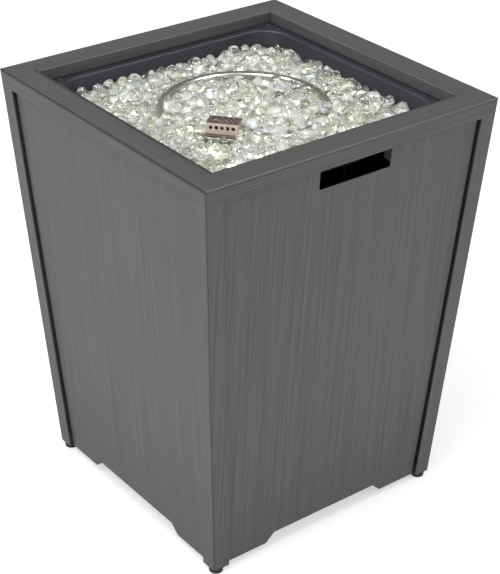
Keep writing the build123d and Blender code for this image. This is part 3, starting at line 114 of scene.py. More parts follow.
# ---- Colours ----
WHITE = (1.0, 1.0, 1.0)
BLACK_PAINT = (0.018, 0.018, 0.02)
PAN_PAINT = (0.024, 0.0265, 0.0355)
DEEP_BLACK = (0.006, 0.006, 0.006)
CONTROL_BLACK = (0.016, 0.016, 0.017)
POINTER_WHITE = (0.75, 0.75, 0.73)
ZINC, ZINC_STAIN = (0.46, 0.47, 0.48), (0.36, 0.35, 0.31)
BRASS, BRASS_STAIN = (0.62, 0.44, 0.2), (0.42, 0.27, 0.12)
BURNER, BURNER_STAIN = (0.52, 0.505, 0.48), (0.42, 0.38, 0.34)
SOOTED, SOOTED_STAIN = (0.09, 0.08, 0.075), (0.05, 0.045, 0.04)
CERAMIC = (0.16, 0.145, 0.13)
HOOD, HOOD_TOP = (0.9, 0.76, 0.67), (0.13, 0.085, 0.07)
PLATE, PLATE_TOP = (0.2, 0.165, 0.14), (0.18, 0.15, 0.13)
# Painted shade inside the pilot's hood and plate
PAINTED_INSIDE_SHADE = (0.008, 0.007, 0.006)
NEAR_WHITE = (0.98, 0.985, 0.955)  # the other end of the beads' own tints
RARE_BLUE, RARE_AMBER = (0.92, 0.965, 0.97), (0.97, 0.93, 0.86)
RARE_FROM = (0.92, 0.94)  # beads whose tint value is past this are rare ones
# Painted highlight and painted glow on the beads' lower flanks
PAINTED_FLANK_HIGHLIGHT = (1.0, 1.0, 0.98)
PAINTED_FLANK_GLOW = (0.97, 1.0, 0.88)
PAINTED_FLANK_GLOW_STRENGTH = 0.026  # strength of the painted glow, an emission on a bead's lower flank that stands in for light
PAINTED_FLANK_BAND = (-0.45, -0.2, 0.12, 0.3)  # upward part of the normal over that flank, where the painted highlight and glow lie

# ---- The basin, the pilot and the beads ----
PAN_RIM = 200.0 * MM  # half the basin's width at the flange
PAN_DRAFT = math.radians(9.0)
PAN_CORNER = 42.0 * MM
PAN_FLOOR_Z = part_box("fire_glass")[0].z
LEVEL_Z = FLANGE_Z - 16.5 * MM  # the heap's surface at its lowest
GRID = 3.0 * MM  # between the places where the heap's height is read
WELL_HALF = 24.0 * MM  # wells in the heap are closed over from each side
WALL_GAP = 1.5 * MM  # between a bead and the basin's walls
CORNER_GAP = 14.0 * MM  # added to the corners' radius, so that beads leave them clear
START_GAP = 20.0 * MM  # between the walls and the places where beads start
PILOT_MIDDLE = PLATE_MIDDLE.xy
PILOT_SIZE = (47.0 * MM, 35.0 * MM)
PILOT_TURN = math.radians(-49.4)
PILOT_FRONT = 32.0 * MM  # the heap is kept low this far in front of the hood
PILOT_SIDE = 6.0 * MM  # and this far past its sides
BURIED_BY = 3.0 * MM  # a tube is buried where the heap stands this much above it
TUBE_CLEARANCE = 0.86  # how far beads keep from a tube, in their own radii
BURIED_SHARE = 0.45  # share of that distance where they bury the tube
BEAD_RADIUS_SHARE = 0.93  # a bead pushes others from this share of its mean radius
RADIUS_SPREAD = (0.9, 1.08)
CEILING_SHIFT = (-3.5, 2.5)  # how much lower or higher a bead may end, in mm
TOP_SHARE, FLOOR_SHARE = 0.6, 0.8  # of a bead's radius, under the surface and over the floor
ROUNDS, REFRESH = 160, 8  # of pushing, and between two lists of near pairs
PAIR_REACH = 2.6  # pairs nearer than this many such radii are listed
BEAD_LEAN = 0.32  # share of half a turn by which beads may lean
BEAD_SPREAD, AXIS_SPREAD = (0.88, 1.14), (0.94, 1.06)
MILKY_POWER, MILKY_DEPTH = 4, 0.6  # few beads are milky, and deep ones more
CLEAR_SHARE = 0.55  # of the beads; the others are green
WAVE_SCALE, WAVE_GAIN = 75.0, 4.0  # noise that makes beads uneven

# ---- Small fastenings ----
SCREW_LINE = RAIL_INNER - 6.0 * MM
SCREW_SHIFTS = (2.0 * MM, 25.0 * MM, 52.0 * MM)
# Black bars in the screw heads, painted shade of their cross recesses: length, width, height
RECESS = (4.2 * MM, 0.9 * MM, 0.24 * MM)
QUARTER = math.pi / 2
RIDGE_SHARE = 0.45  # of a thread's pitch that its ridge takes up
BOLT_THREAD = (7.6 * MM, 15.0 * MM, 1.25 * MM, 4.2 * MM)  # start, length, pitch, radius
INLET_THREAD = (4.9 * MM, 10.6 * MM, 1.4 * MM, 8.15 * MM)
POINTER = (1.1 * MM, 0.2 * MM, 12.0 * MM)
POINTER_RISE = 9.5 * MM  # from the knob's middle to the line's

# ---- Light ----
SKY = (0.62, 0.5)  # light on surfaces, from overhead and from the horizon
MIRROR_SKY = (0.25, 0.95)  # the same, as reflections show it
GLASS_SKY = 2.0  # the same, as it shows through glass
HORIZON = (0.42, 0.12)  # heights between which the sky changes to the horizon
SPARK_LIGHT = 14.0  # small lights that only reflections show
SPARKS = ((-105.0, 52.0, 17.0), (35.0, 56.0, 14.0))  # azimuth, elevation, half angle
BOX_LIGHT = 5.0  # large lights that only show through glass
SOFT_BOXES = ((142.0, 44.0, 30.0), (60.0, 56.0, 18.0), (-130.0, 60.0, 20.0))
BOX_EDGE = 0.75  # share of the half angle inside which such a light is full
LAMP_AIM = Vector((0, 0, TOP_Z * 0.85))
LAMPS = (
    # name, azimuth, elevation, distance, size, watts
    ("key", -88.0, 20.0, 2.6, 1.6, 21.0),
    ("fill", 10.0, 16.0, 3.0, 2.0, 18.0),
    ("top", -62.0, 62.0, 2.2, 1.3, 15.5),
)
FLOOR_HALF = 6.0
FLOOR_GLOW = 0.5  # added where the floor is seen straight, mirrored or through glass
SENSOR = 36.0  # width of the camera's sensor, in millimetres


# ---- Sizes and colours that a user may change ----
def color_value(name, description, default):
    """Property for a colour."""
    return FloatVectorProperty(
        name=name, description=description, subtype="COLOR", default=default, min=0, max=1)


def length_value(name, description, default, least=0.001):
    """Property for a length."""
    return FloatProperty(
        name=name, description=description, unit="LENGTH", default=default, min=least)


def share_value(name, description, default):
    """Property for a share between 0 and 1."""
    return FloatProperty(
        name=name, description=description, subtype="FACTOR", default=default, min=0, max=1)


class CoatSettings(bpy.types.PropertyGroup):
    """The brushed charcoal coat of the frame and panels."""

    color: color_value("Coat", "Colour of the coat on average", (0.1, 0.099, 0.101))
    warm: color_value("Warm tint", "Colour where the coat is thin", (0.103, 0.099, 0.098))
    # The base coat colour also paints the shade lines and strip along the rails' edges.
    edge: color_value(
        "Base coat", "Dark coat that shows along the edges", (0.026, 0.024, 0.024))
    streak_width: length_value("Streak width", "Width of one brush streak", 0.0014, 0.0001)
    streak_length: length_value("Streak length", "Length of one brush streak", 0.3)
    contrast: share_value(
        "Streak contrast", "How far streaks differ from the mean colour", 0.4)
    # Painted shade: faces that look up are made darker.
    top_shade: share_value(
        "Top tone", "Tone of the faces that look up, against the upright ones", 0.98)
    # Painted shade: the coat darker towards the foot.
    foot_shade: share_value("Foot tone", "Tone of the coat at the foot, against the rest", 0.79)
    line_width: length_value("Edge line", "Width of the dark line along an edge", 0.0018, 0)


class GlassSettings(bpy.types.PropertyGroup):
    """The polished glass beads."""

    count: IntProperty(name="Beads", description="How many beads fill the pan", default=1420, min=1)
    length: length_value("Bead length", "Longest diameter of a bead", 0.0225)
    width: length_value("Bead width", "Middle diameter of a bead", 0.019)
    height: length_value("Bead height", "Smallest diameter of a bead", 0.0142)
    seed: IntProperty(name="Seed", description="Seed of the beads' places", default=7, min=0)
    clear: color_value("Clear glass", "Colour of most beads", (0.97, 0.985, 0.965))
    green: color_value("Green glass", "Colour of the tinted beads", (0.9, 0.935, 0.78))


class StageSettings(bpy.types.PropertyGroup):
    """Camera and floor."""

    azimuth: FloatProperty(
        name="Azimuth", description="Camera's turn round the object, in degrees", default=-37.616)
    elevation: FloatProperty(
        name="Elevation", description="Camera's rise from the horizon, in degrees", default=29.407)
    roll: FloatProperty(name="Roll", description="Tilt of the camera, in degrees", default=0.52)
    distance: length_value("Distance", "Camera to target", 2.4662, 0.1)
    target: FloatVectorProperty(
        name="Target", description="Point that the camera looks at", subtype="TRANSLATION",
        default=(-0.005, -0.0228, 0.3334))
    lens: FloatProperty(
        name="Lens", description="Focal length, in millimetres", default=101.99, min=1)
    floor: color_value("Floor", "Colour of the floor", (0.8, 0.8, 0.8))


# ---- Node helpers ----
def feed(tree, socket, value):
    """Joins a socket to another node's, or sets its value."""
    if isinstance(value, bpy.types.NodeSocket):
        tree.links.new(value, socket)
    elif value is not None:
        socket.default_value = value


def add_node(tree, kind, inputs=None, **settings):
    """Node of a kind, with its settings and its inputs by name."""
    made = tree.nodes.new(kind)
    for key, value in settings.items():
        setattr(made, key, value)
    for key, value in (inputs or {}).items():
        feed(tree, made.inputs[key], value)
    return made


def calc(tree, operation, *values):
    """One sum of numbers."""
    made = add_node(tree, "ShaderNodeMath", operation=operation)
    for socket, value in zip(made.inputs, values):
        feed(tree, socket, value)
    return made.outputs[0]


def times(tree, first, *others):
    """All values multiplied."""
    for other in others:
        first = calc(tree, "MULTIPLY", first, other)
    return first


def highest(tree, first, *others):
    """The largest of the values."""
    for other in others:
        first = calc(tree, "MAXIMUM", first, other)
    return first


def opposite(tree, mask):
    """0 where a mask is 1, and 1 where it is 0."""
    return calc(tree, "SUBTRACT", 1.0, mask)


def soft_step(tree, value, low, high):
    """0 below low, 1 above high and smooth between; low may be the larger one."""
    made = add_node(tree, "ShaderNodeMapRange", {"Value": value}, interpolation_type="SMOOTHSTEP")
    ends = (low, high, 0.0, 1.0) if low < high else (high, low, 1.0, 0.0)
    for socket, end in zip(list(made.inputs)[1:5], ends):
        feed(tree, socket, end)
    return made.outputs[0]


def within(tree, value, ends):
    """1 up to the first end and 0 past the second."""
    full, gone = ends
    return soft_step(tree, value, gone, full)


def band(tree, value, start, full, until, gone):
    """1 between two inner ends and 0 outside two outer ones."""
    return times(tree, soft_step(tree, value, start, full), within(tree, value, (until, gone)))


def spread(tree, value, low, high):
    """Stretches a value between 0 and 1 to another range."""
    made = add_node(tree, "ShaderNodeMapRange", {"Value": value, "To Min": low, "To Max": high})
    return made.outputs[0]


def mix(tree, factor, first, second, blend="MIX"):
    """Colour between two colours, or one laid over the other."""
    made = add_node(tree, "ShaderNodeMix", data_type="RGBA", blend_type=blend)
    for index, value in ((0, factor), (6, first), (7, second)):
        feed(tree, made.inputs[index], value)
    return made.outputs[2]


def axes(tree, vector):
    """The three parts of a vector."""
    return add_node(tree, "ShaderNodeSeparateXYZ", {"Vector": vector}).outputs


def join(tree, x=0.0, y=0.0, z=0.0):
    """Vector from its three parts."""
    return add_node(tree, "ShaderNodeCombineXYZ", {"X": x, "Y": y, "Z": z}).outputs[0]


def vector_calc(tree, operation, first, second):
    """Node for one sum of two vectors."""
    made = add_node(tree, "ShaderNodeVectorMath", operation=operation)
    feed(tree, made.inputs[0], first)
    feed(tree, made.inputs[1], second)
    return made


def face_normal(tree):
    """Where the face looks, without bumps or smoothing."""
    return add_node(tree, "ShaderNodeNewGeometry").outputs["True Normal"]


def stretch(tree, vector, scale):
    """Scales a place along each axis."""
    made = add_node(
        tree, "ShaderNodeMapping", {"Vector": vector, "Scale": scale}, vector_type="POINT")
    return made.outputs[0]


def noise(tree, vector, scale=1.0, detail=2.0, rough=0.5):
    """Cloudy value between 0 and 1."""
    made = add_node(tree, "ShaderNodeTexNoise", {
        "Vector": vector, "Scale": scale, "Detail": detail, "Roughness": rough})
    return made.outputs[0]


def bump(tree, height, strength, distance):
    """Normal that a height between 0 and 1 tilts."""
    made = add_node(
        tree, "ShaderNodeBump", {"Strength": strength, "Distance": distance, "Height": height})
    return made.outputs[0]


def rgba(color, factor=1.0):
    """Opaque colour, made darker or lighter."""
    return (*(min(1.0, channel * factor) for channel in color), 1.0)


def wire(tree, shader, **values):
    """Feeds a shader's inputs; an underscore in a key stands for a space."""
    for key, value in values.items():
        feed(tree, shader.inputs[key.replace("_", " ")], value)


def new_material(name, **values):
    """Material with a Principled shader, whose constant values are set on its own sockets."""
    material = bpy.data.materials.new(name)
    material.use_nodes = True
    tree = material.node_tree
    tree.nodes.clear()
    shader = add_node(tree, "ShaderNodeBsdfPrincipled")
    output = add_node(tree, "ShaderNodeOutputMaterial")
    tree.links.new(shader.outputs[0], output.inputs[0])
    wire(tree, shader, **values)
    place = add_node(tree, "ShaderNodeTexCoord").outputs["Object"]
    return material, tree, shader, place


def new_object(name, data):
    """Object that shows some data, linked to the scene."""
    made = bpy.data.objects.new(name, data)
    bpy.context.scene.collection.objects.link(made)
    return made


def dress(material, *names):
    """Gives CAD nodes a material."""
    for name in names:
        slots = NODES[name].data.materials
        slots.clear()
        slots.append(material)


# ---- Coat of the frame ----
def half_side(tree, z):
    """Half the width across the outer faces at a height, as a node value."""
    rise = calc(tree, "SUBTRACT", z, FOOT_Z)
    return calc(tree, "MULTIPLY_ADD", rise, LEAN, FOOT_HALF)


def across_face(tree, place):
    """Place across an upright face: x on the front and back, y on the sides, with an offset."""
    nx, ny, _ = axes(tree, face_normal(tree))
    x, y, _ = axes(tree, place)
    sideways = calc(tree, "GREATER_THAN", calc(tree, "ABSOLUTE", nx), calc(tree, "ABSOLUTE", ny))
    on_front = times(tree, x, opposite(tree, sideways))
    on_side = times(tree, calc(tree, "ADD", y, 3.0), sideways)
    facing = calc(tree, "SIGN", calc(tree, "ADD", nx, ny))
    return calc(tree, "ADD", calc(tree, "ADD", on_front, on_side), facing)


def streak_plane(tree, place, along):
    """Place on a brushed face: across the streaks first, then along them."""
    x, y, z = axes(tree, place)
    if along == "z":
        return across_face(tree, place), z
    first, second = (y, x) if along == "x" else (x, y)
    return calc(tree, "ADD", first, z), second


def frame_distances(tree, place):
    """How far a place lies from the frame's edges, and masks of the sides it is on."""
    x, y, z = axes(tree, place)
    far_x, far_y = calc(tree, "ABSOLUTE", x), calc(tree, "ABSOLUTE", y)
    farthest = calc(tree, "MAXIMUM", far_x, far_y)
    half = half_side(tree, z)
    on_sides = calc(tree, "GREATER_THAN", far_x, far_y)
    on_ends = calc(tree, "GREATER_THAN", far_y, far_x)
    outward = calc(tree, "ADD", times(tree, x, on_sides), times(tree, y, on_ends))
    return {
        "corner": calc(tree, "SUBTRACT", half, calc(tree, "MINIMUM", far_x, far_y)),
        "outer": calc(tree, "SUBTRACT", half, farthest),
        "inner": calc(tree, "SUBTRACT", farthest, RAIL_INNER),
        "below_top": calc(tree, "SUBTRACT", TOP_Z, z),
        "above_foot": calc(tree, "SUBTRACT", z, FOOT_Z),
        "on_sides": on_sides,
        "near": calc(tree, "GREATER_THAN", 0.0, outward),
    }


def line_under_top(tree, at, width):
    """Dark line on the outer faces just under the rounded edge, darkest on the left."""
    fade = [ROUND_OVER + share * width for share in LINE_FADE]
    line = band(tree, at["below_top"], ROUND_OVER * 0.9, ROUND_OVER + 0.3 * MM, *fade)
    leftward = soft_step(tree, axes(tree, face_normal(tree))["X"], -0.4, -0.8)
    return times(tree, line, spread(tree, leftward, OFF_LEFT_DARKNESS, 1.0),
                 within(tree, at["outer"], OUTER_SKIN))


def left_ridge_shade(tree, at, on_left):
    """Painted shade line on the left rail's rounded outer edge."""
    return times(tree, within(tree, at["outer"], LEFT_RIDGE),
                 within(tree, at["below_top"], LEFT_DEPTH), on_left)


def inner_roll_shade(tree, at):
    """Painted shade strip where the near rails roll down to the pan, wider on the left rail."""
    share = calc(tree, "DIVIDE", at["inner"], spread(tree, at["on_sides"], *ROLL_SHADE_WIDTHS))
    return times(tree, within(tree, share, ROLL_SHADE_FADE), at["near"],
                 within(tree, at["below_top"], ROLL_SHADE_DEPTH))


def edge_masks(tree, place):
    """Where dark lines run along the frame's edges, base coat and painted shade, and where painted
    highlight lines run.
    """
    width = bpy.context.scene.fire_pit_coat.line_width
    at = frame_distances(tree, place)
    far = opposite(tree, at["near"])
    on_left = times(tree, at["near"], at["on_sides"])
    on_front = calc(tree, "SUBTRACT", at["near"], on_left)
    rounded = within(tree, at["below_top"], ROUNDED)
    ridge = times(tree, within(tree, at["outer"], RIDGE_FADE), rounded)
    corner_fade, foot_fade = (
        [share * width for share in fade] for fade in (CORNER_FADE, LINE_FADE))
    dark = highest(
        tree,
        times(tree, CORNER_DARKNESS, within(tree, at["corner"], corner_fade)),
        line_under_top(tree, at, width),
        # painted shade on the far rails' rounded outer edge
        times(tree, ridge, far),
        within(tree, at["above_foot"], foot_fade),
        inner_roll_shade(tree, at),
        left_ridge_shade(tree, at, on_left),
    )
    inner_highlight = times(tree, within(tree, at["inner"], INNER_FADE), rounded, far)
    # painted highlights: the front rail's rounded outer edge and the far rails' inner edge
    return dark, highest(tree, times(tree, ridge, on_front), inner_highlight)


def coat_level(tree, place, streak, patches):
    """Brightness of the coat: streaks, patches, and painted shade towards the foot and on the faces
    that look up.
    """
    coat = bpy.context.scene.fire_pit_coat
    reach = STREAK_GAIN * coat.contrast
    height = calc(tree, "SUBTRACT", axes(tree, place)["Z"], FOOT_Z)
    upward = axes(tree, face_normal(tree))["Z"]
    return times(
        tree,
        spread(tree, streak, 1.0 - reach, 1.0 + reach),
        spread(tree, patches, 0.94, 1.06),
        spread(tree, soft_step(tree, height, *FOOT_SHADE_SPAN), coat.foot_shade, 1.0),
        spread(tree, soft_step(tree, upward, *LOOKS_UP), 1.0, coat.top_shade),
    )


def brushed_coat(name, along, tone=1.0):
    """Charcoal coat brushed along an axis over a dark base coat, with painted shade and painted
    highlights along the rails' edges.
    """
    coat = bpy.context.scene.fire_pit_coat
    material, tree, shader, place = new_material(name, Metallic=0.2, Specular_IOR_Level=0.3)
    across, along_value = streak_plane(tree, place, along)
    streak = 0.0
    for widen, lengthen, depth, weight in STREAK_LAYERS:
        layer = noise(tree, join(
            tree, calc(tree, "DIVIDE", across, coat.streak_width * widen),
            calc(tree, "DIVIDE", along_value, coat.streak_length * lengthen), depth),
            detail=2.0, rough=0.6)
        streak = calc(tree, "MULTIPLY_ADD", layer, weight, streak)
    patches = noise(tree, stretch(tree, place, (5.0, 5.0, 2.5)), detail=2.0)
    # A tone below 1 darkens the coat as painted shade.
    base = mix(tree, soft_step(tree, patches, 0.35, 0.7), rgba(coat.color, tone),
               rgba(coat.warm, tone))
    level = coat_level(tree, place, streak, patches)
    color = mix(tree, 1.0, base, join(tree, level, level, level), blend="MULTIPLY")
    dark, light = edge_masks(tree, place)
    # Painted highlight lines along the rounded edges.
    color = mix(tree, times(tree, light, HIGHLIGHT_SHARE), color, rgba(coat.color, HIGHLIGHT_FACTOR))
    # Dark lines: base coat along the edges, and painted shade on the rails.
    color = mix(tree, times(tree, dark, DARK_SHARE), color, rgba(coat.edge))
    wire(tree, shader, Base_Color=color, Roughness=spread(tree, streak, 0.42, 0.6),
         Normal=bump(tree, streak, 0.12, 0.0002))
    return material


def satin_paint(name, color, roughness):
    """Sprayed paint with a faint orange peel and a few dull patches."""
    material, tree, shader, place = new_material(name, Metallic=0.0, Specular_IOR_Level=0.5)
    peel = noise(tree, place, scale=900.0, detail=2.0)
    cloud = noise(tree, place, scale=14.0, detail=4.0, rough=0.6)
    wire(tree, shader, Base_Color=mix(tree, cloud, rgba(color, 0.8), rgba(color, 1.25)),
         Roughness=spread(tree, cloud, roughness - 0.07, roughness + 0.09),
         Normal=bump(tree, peel, 0.25, 0.0002))
    return material


def metal(name, color, stain, roughness, stain_share=0.5):
    """Bare metal with fine marks along one direction and stains."""
    material, tree, shader, place = new_material(name, Metallic=1.0)
    marks = noise(tree, stretch(tree, place, (60.0, 60.0, 900.0)), detail=3.0, rough=0.6)
    cloud = noise(tree, place, scale=45.0, detail=4.0, rough=0.6)
    tint = soft_step(tree, cloud, 0.62 - 0.3 * stain_share, 0.8 - 0.3 * stain_share)
    wire(tree, shader, Base_Color=mix(tree, tint, rgba(color), rgba(stain)),
         Roughness=spread(tree, marks, roughness - 0.1, roughness + 0.14),
         Normal=bump(tree, marks, 0.2, 0.0001))
    return material


def heated_steel(name, color, top_color, roughness):
    """Sheet steel in its own tint, darker on faces that look up, with near-black painted shade on
    its inner faces.
    """
    material, tree, shader, place = new_material(name, Metallic=0.15)
    normal = face_normal(tree)
    upward = soft_step(tree, axes(tree, normal)["Z"], 0.5, 0.9)
    cloud = noise(tree, place, scale=120.0, detail=3.0)
    shade = mix(tree, upward, rgba(color), rgba(top_color))
    shade = mix(tree, times(tree, cloud, 0.5), shade, rgba(top_color, 0.8))
    # Near-black painted shade on the faces that look inwards
    outward = vector_calc(tree, "SUBTRACT", place, tuple(PLATE_MIDDLE)).outputs[0]
    facing = vector_calc(tree, "DOT_PRODUCT", outward, normal).outputs["Value"]
    inside = soft_step(tree, facing, 0.0, -1.0 * MM)
    wire(tree, shader, Base_Color=mix(tree, inside, shade, rgba(PAINTED_INSIDE_SHADE)),
         Roughness=spread(tree, cloud, roughness - 0.06, roughness + 0.1))
    return material


def moulded(name, color, roughness):
    """Moulded plastic with a fine spark texture."""
    material, tree, shader, place = new_material(name, Specular_IOR_Level=0.45)
    spark = noise(tree, place, scale=2500.0, detail=1.0)
    cloud = noise(tree, place, scale=60.0, detail=3.0)
    wire(tree, shader, Base_Color=mix(tree, cloud, rgba(color, 0.85), rgba(color, 1.2)),
         Roughness=spread(tree, cloud, roughness - 0.05, roughness + 0.1),
         Normal=bump(tree, spark, 0.3, 0.00008))
    return material


# ---- Fire glass ----
def read_heap():
    """Heights of the CAD heap's surface on a square grid, its wells closed over."""
    solid = NODES["fire_glass"]
    mesh = solid.data
    corners = [solid.matrix_world @ vertex.co for vertex in mesh.vertices]
    surface = BVHTree.FromPolygons(corners, [tuple(face.vertices) for face in mesh.polygons])
    steps = np.arange(-PAN_RIM, PAN_RIM + GRID, GRID)
    heights = np.zeros((len(steps), len(steps)))
    for row, x in enumerate(steps):
        for column, y in enumerate(steps):
            hit = surface.ray_cast(Vector((x, y, TOP_Z)), Vector((0, 0, -1)))[0]
            heights[row, column] = hit.z if hit else 0.0
    for _ in range(math.ceil(WELL_HALF / GRID)):
        padded = np.pad(heights, 1, mode="edge")
        around = np.max([padded[:-2, 1:-1], padded[2:, 1:-1], padded[1:-1, :-2],
                         padded[1:-1, 2:]], axis=0)
        heights = np.where(heights < LEVEL_Z - MM, around, heights)
    return np.maximum(heights, LEVEL_Z)


def heap_height(heights, x, y):
    """Height of the heap's surface, for arrays of places."""
    last = len(heights) - 1
    row = np.clip(np.rint((x + PAN_RIM) / GRID).astype(int), 0, last)
    column = np.clip(np.rint((y + PAN_RIM) / GRID).astype(int), 0, last)
    return heights[row, column]


def glass_material(name, color, rare):
    """Polished glass; each bead has its own tint, and a painted highlight and painted glow on its
    lower flank.
    """
    material, tree, shader, place = new_material(name, IOR=1.5, Specular_IOR_Level=0.7)
    tint, milky = (
        add_node(tree, "ShaderNodeAttribute", attribute_name=key).outputs["Fac"]
        for key in ("tint", "milky"))
    cloud = noise(tree, place, scale=80.0, detail=2.0)
    normal = axes(tree, add_node(tree, "ShaderNodeNewGeometry").outputs["Normal"])
    # painted highlight and glow on a band of the lower flank
    flank = times(tree, band(tree, normal["Z"], *PAINTED_FLANK_BAND), soft_step(tree, cloud, 0.46, 0.54))
    shade = mix(tree, tint, rgba(color), rgba(NEAR_WHITE))
    shade = mix(tree, soft_step(tree, tint, *RARE_FROM), shade, rgba(rare))
    shade = mix(tree, flank, shade, rgba(PAINTED_FLANK_HIGHLIGHT))
    clearness = times(tree, spread(tree, milky, 0.97, 0.4), spread(tree, flank, 1.0, 0.1))
    wire(tree, shader, Base_Color=shade, Transmission_Weight=clearness,
         Emission_Color=rgba(PAINTED_FLANK_GLOW), Emission_Strength=spread(tree, flank, 0.0, PAINTED_FLANK_GLOW_STRENGTH),
         Roughness=spread(tree, cloud, 0.0, 0.04), Normal=bump(tree, cloud, 0.3, 0.003))
    return material


def push_pairs(points, radii, pairs):
    """Moves overlapping pairs apart."""
    first, second = pairs
    gap = points[first] - points[second]
    reach = np.linalg.norm(gap, axis=1) + 1e-9
    overlap = radii[first] + radii[second] - reach
    hit = overlap > 0
    first, second = first[hit], second[hit]
    shift = gap[hit] / reach[hit, None] * (overlap[hit, None] * 0.5)
    moved, hits = np.zeros_like(points), np.ones(len(points))
    for ends, way in ((first, shift), (second, -shift)):
        np.add.at(moved, ends, way)
        np.add.at(hits, ends, 0.5)
    points += moved / hits[:, None]


def near_pairs(points, reach):
    """Index pairs of points nearer to each other than a reach."""
    found = []
    order = np.argsort(points[:, 0])
    ranked = points[order]
    ends = np.searchsorted(ranked[:, 0], ranked[:, 0] + reach)
    for start, end in enumerate(ends):
        others = np.arange(start + 1, end)
        close = np.abs(ranked[others] - ranked[start]).max(axis=1) < reach
        found.append(np.stack([np.full(close.sum(), start), others[close]]))
    pairs = order[np.concatenate(found, axis=1)]
    return pairs[0], pairs[1]


def keep_in_basin(points, radii):
    """Holds the beads inside the basin's walls and rounded corners."""
    x, y, z = points.T
    half = PAN_RIM - (FLANGE_Z - z) * math.tan(PAN_DRAFT) - radii - WALL_GAP
    points[:, 0] = np.clip(x, -half, half)
    points[:, 1] = np.clip(y, -half, half)
    turn = PAN_CORNER + CORNER_GAP - radii - WALL_GAP
    over_x, over_y = (np.abs(points[:, axis]) - (half - turn) for axis in (0, 1))
    in_corner = (over_x > 0) & (over_y > 0)
    out = np.hypot(over_x, over_y) + 1e-9
    pull = np.where(in_corner & (out > turn), turn / out, 1.0)
    for axis, over in ((0, over_x), (1, over_y)):
        at = points[:, axis]
        points[:, axis] = np.where(in_corner, np.sign(at) * (half - turn + over * pull), at)


def keep_off_burner(points, radii, surface):
    """Pushes the beads off the ring and its cross tube, less so where they bury it."""
    buried = surface > CROSS_Z + TUBE_RADIUS + BURIED_BY
    need = (TUBE_RADIUS + radii * TUBE_CLEARANCE) * np.where(buried, BURIED_SHARE, 1.0)
    x, y, z = points.T
    out = np.hypot(x, y) + 1e-9
    gap = np.stack([out - RING_RADIUS, z - CROSS_Z])
    reach = np.hypot(*gap) + 1e-9
    push = np.where(reach < need, need - reach, 0.0)
    points[:, 0] += x / out * gap[0] / reach * push
    points[:, 1] += y / out * gap[0] / reach * push
    points[:, 2] += gap[1] / reach * push
    x, y, z = points.T
    reach = np.hypot(y, z - CROSS_Z) + 1e-9
    inside = (reach < need) & (np.abs(x) < RING_RADIUS)
    push = np.where(inside, need - reach, 0.0)
    points[:, 1] += y / reach * push
    points[:, 2] += (z - CROSS_Z) / reach * push


def pilot_view(points):
    """Places as the pilot has them: across its hood and behind the middle of its plate."""
    turn = np.array(Matrix.Rotation(PILOT_TURN, 2))
    return (points[:, :2] - np.array(PILOT_MIDDLE)) @ turn


def keep_off_pilot(points, radii):
    """Pushes the beads out from under and behind the pilot's hood."""
    local = pilot_view(points)
    reach = np.array(PILOT_SIZE) / 2 + radii[:, None] - np.abs(local)
    inside = (reach > 0).all(axis=1)
    by_x = reach[:, 0] < reach[:, 1]
    for axis, chosen in ((0, inside & by_x), (1, inside & ~by_x)):
        local[:, axis] += np.where(chosen, np.sign(local[:, axis]) * reach[:, axis], 0.0)
    back = np.array(Matrix.Rotation(PILOT_TURN, 2)).T
    points[:, :2] = local @ back + np.array(PILOT_MIDDLE)


def before_pilot(points):
    """Which beads lie in front of the hood, where the heap is kept low."""
    across, along = pilot_view(points).T
    front = -PILOT_SIZE[1] / 2
    return (np.abs(across) < PILOT_SIZE[0] / 2 + PILOT_SIDE) & (along < front) & (
        along > front - PILOT_FRONT)


def settle_beads(glass):
    """Places for the beads, pressed together under the heap's uneven surface."""
    rng = np.random.default_rng(glass.seed)
    count, heap = glass.count, read_heap()
    proxy = (glass.length + glass.width + glass.height) / 6 * BEAD_RADIUS_SHARE
    radii = proxy * rng.uniform(*RADIUS_SPREAD, count)
    points = np.empty((count, 3))
    points[:, :2] = rng.uniform(-1, 1, (count, 2)) * (PAN_RIM - START_GAP)
    ceiling_shift = rng.uniform(*CEILING_SHIFT, count) * MM
    points[:, 2] = rng.uniform(PAN_FLOOR_Z, LEVEL_Z, count)
    for step in range(ROUNDS):
        if step % REFRESH == 0:
            pairs = near_pairs(points, PAIR_REACH * proxy)
        surface = heap_height(heap, points[:, 0], points[:, 1])
        push_pairs(points, radii, pairs)
        keep_off_burner(points, radii, surface)
        keep_off_pilot(points, radii)
        keep_in_basin(points, radii)
        top = heap_height(heap, points[:, 0], points[:, 1]) + ceiling_shift - radii * TOP_SHARE
        low_top = np.minimum(top, PLATE_HIGH.z - radii)
        top = np.where(before_pilot(points), low_top, top)
        points[:, 2] = np.clip(points[:, 2], PAN_FLOOR_Z + radii * FLOOR_SHARE, top)
    depth = np.clip((top - points[:, 2]) / (2 * proxy), 0.0, 1.0)
    return points, depth, rng


def point_cloud(name, places, vectors, numbers):
    """Object of loose vertices that carries values for each of them."""
    mesh = bpy.data.meshes.new(name)
    mesh.from_pydata([tuple(place) for place in places], [], [])
    for key, values in vectors.items():
        attribute = mesh.attributes.new(key, "FLOAT_VECTOR", "POINT")
        attribute.data.foreach_set("vector", np.asarray(values, np.float32).ravel())
    for key, values in numbers.items():
        attribute = mesh.attributes.new(key, "FLOAT", "POINT")
        attribute.data.foreach_set("value", np.asarray(values, np.float32))
    return new_object(name, mesh)


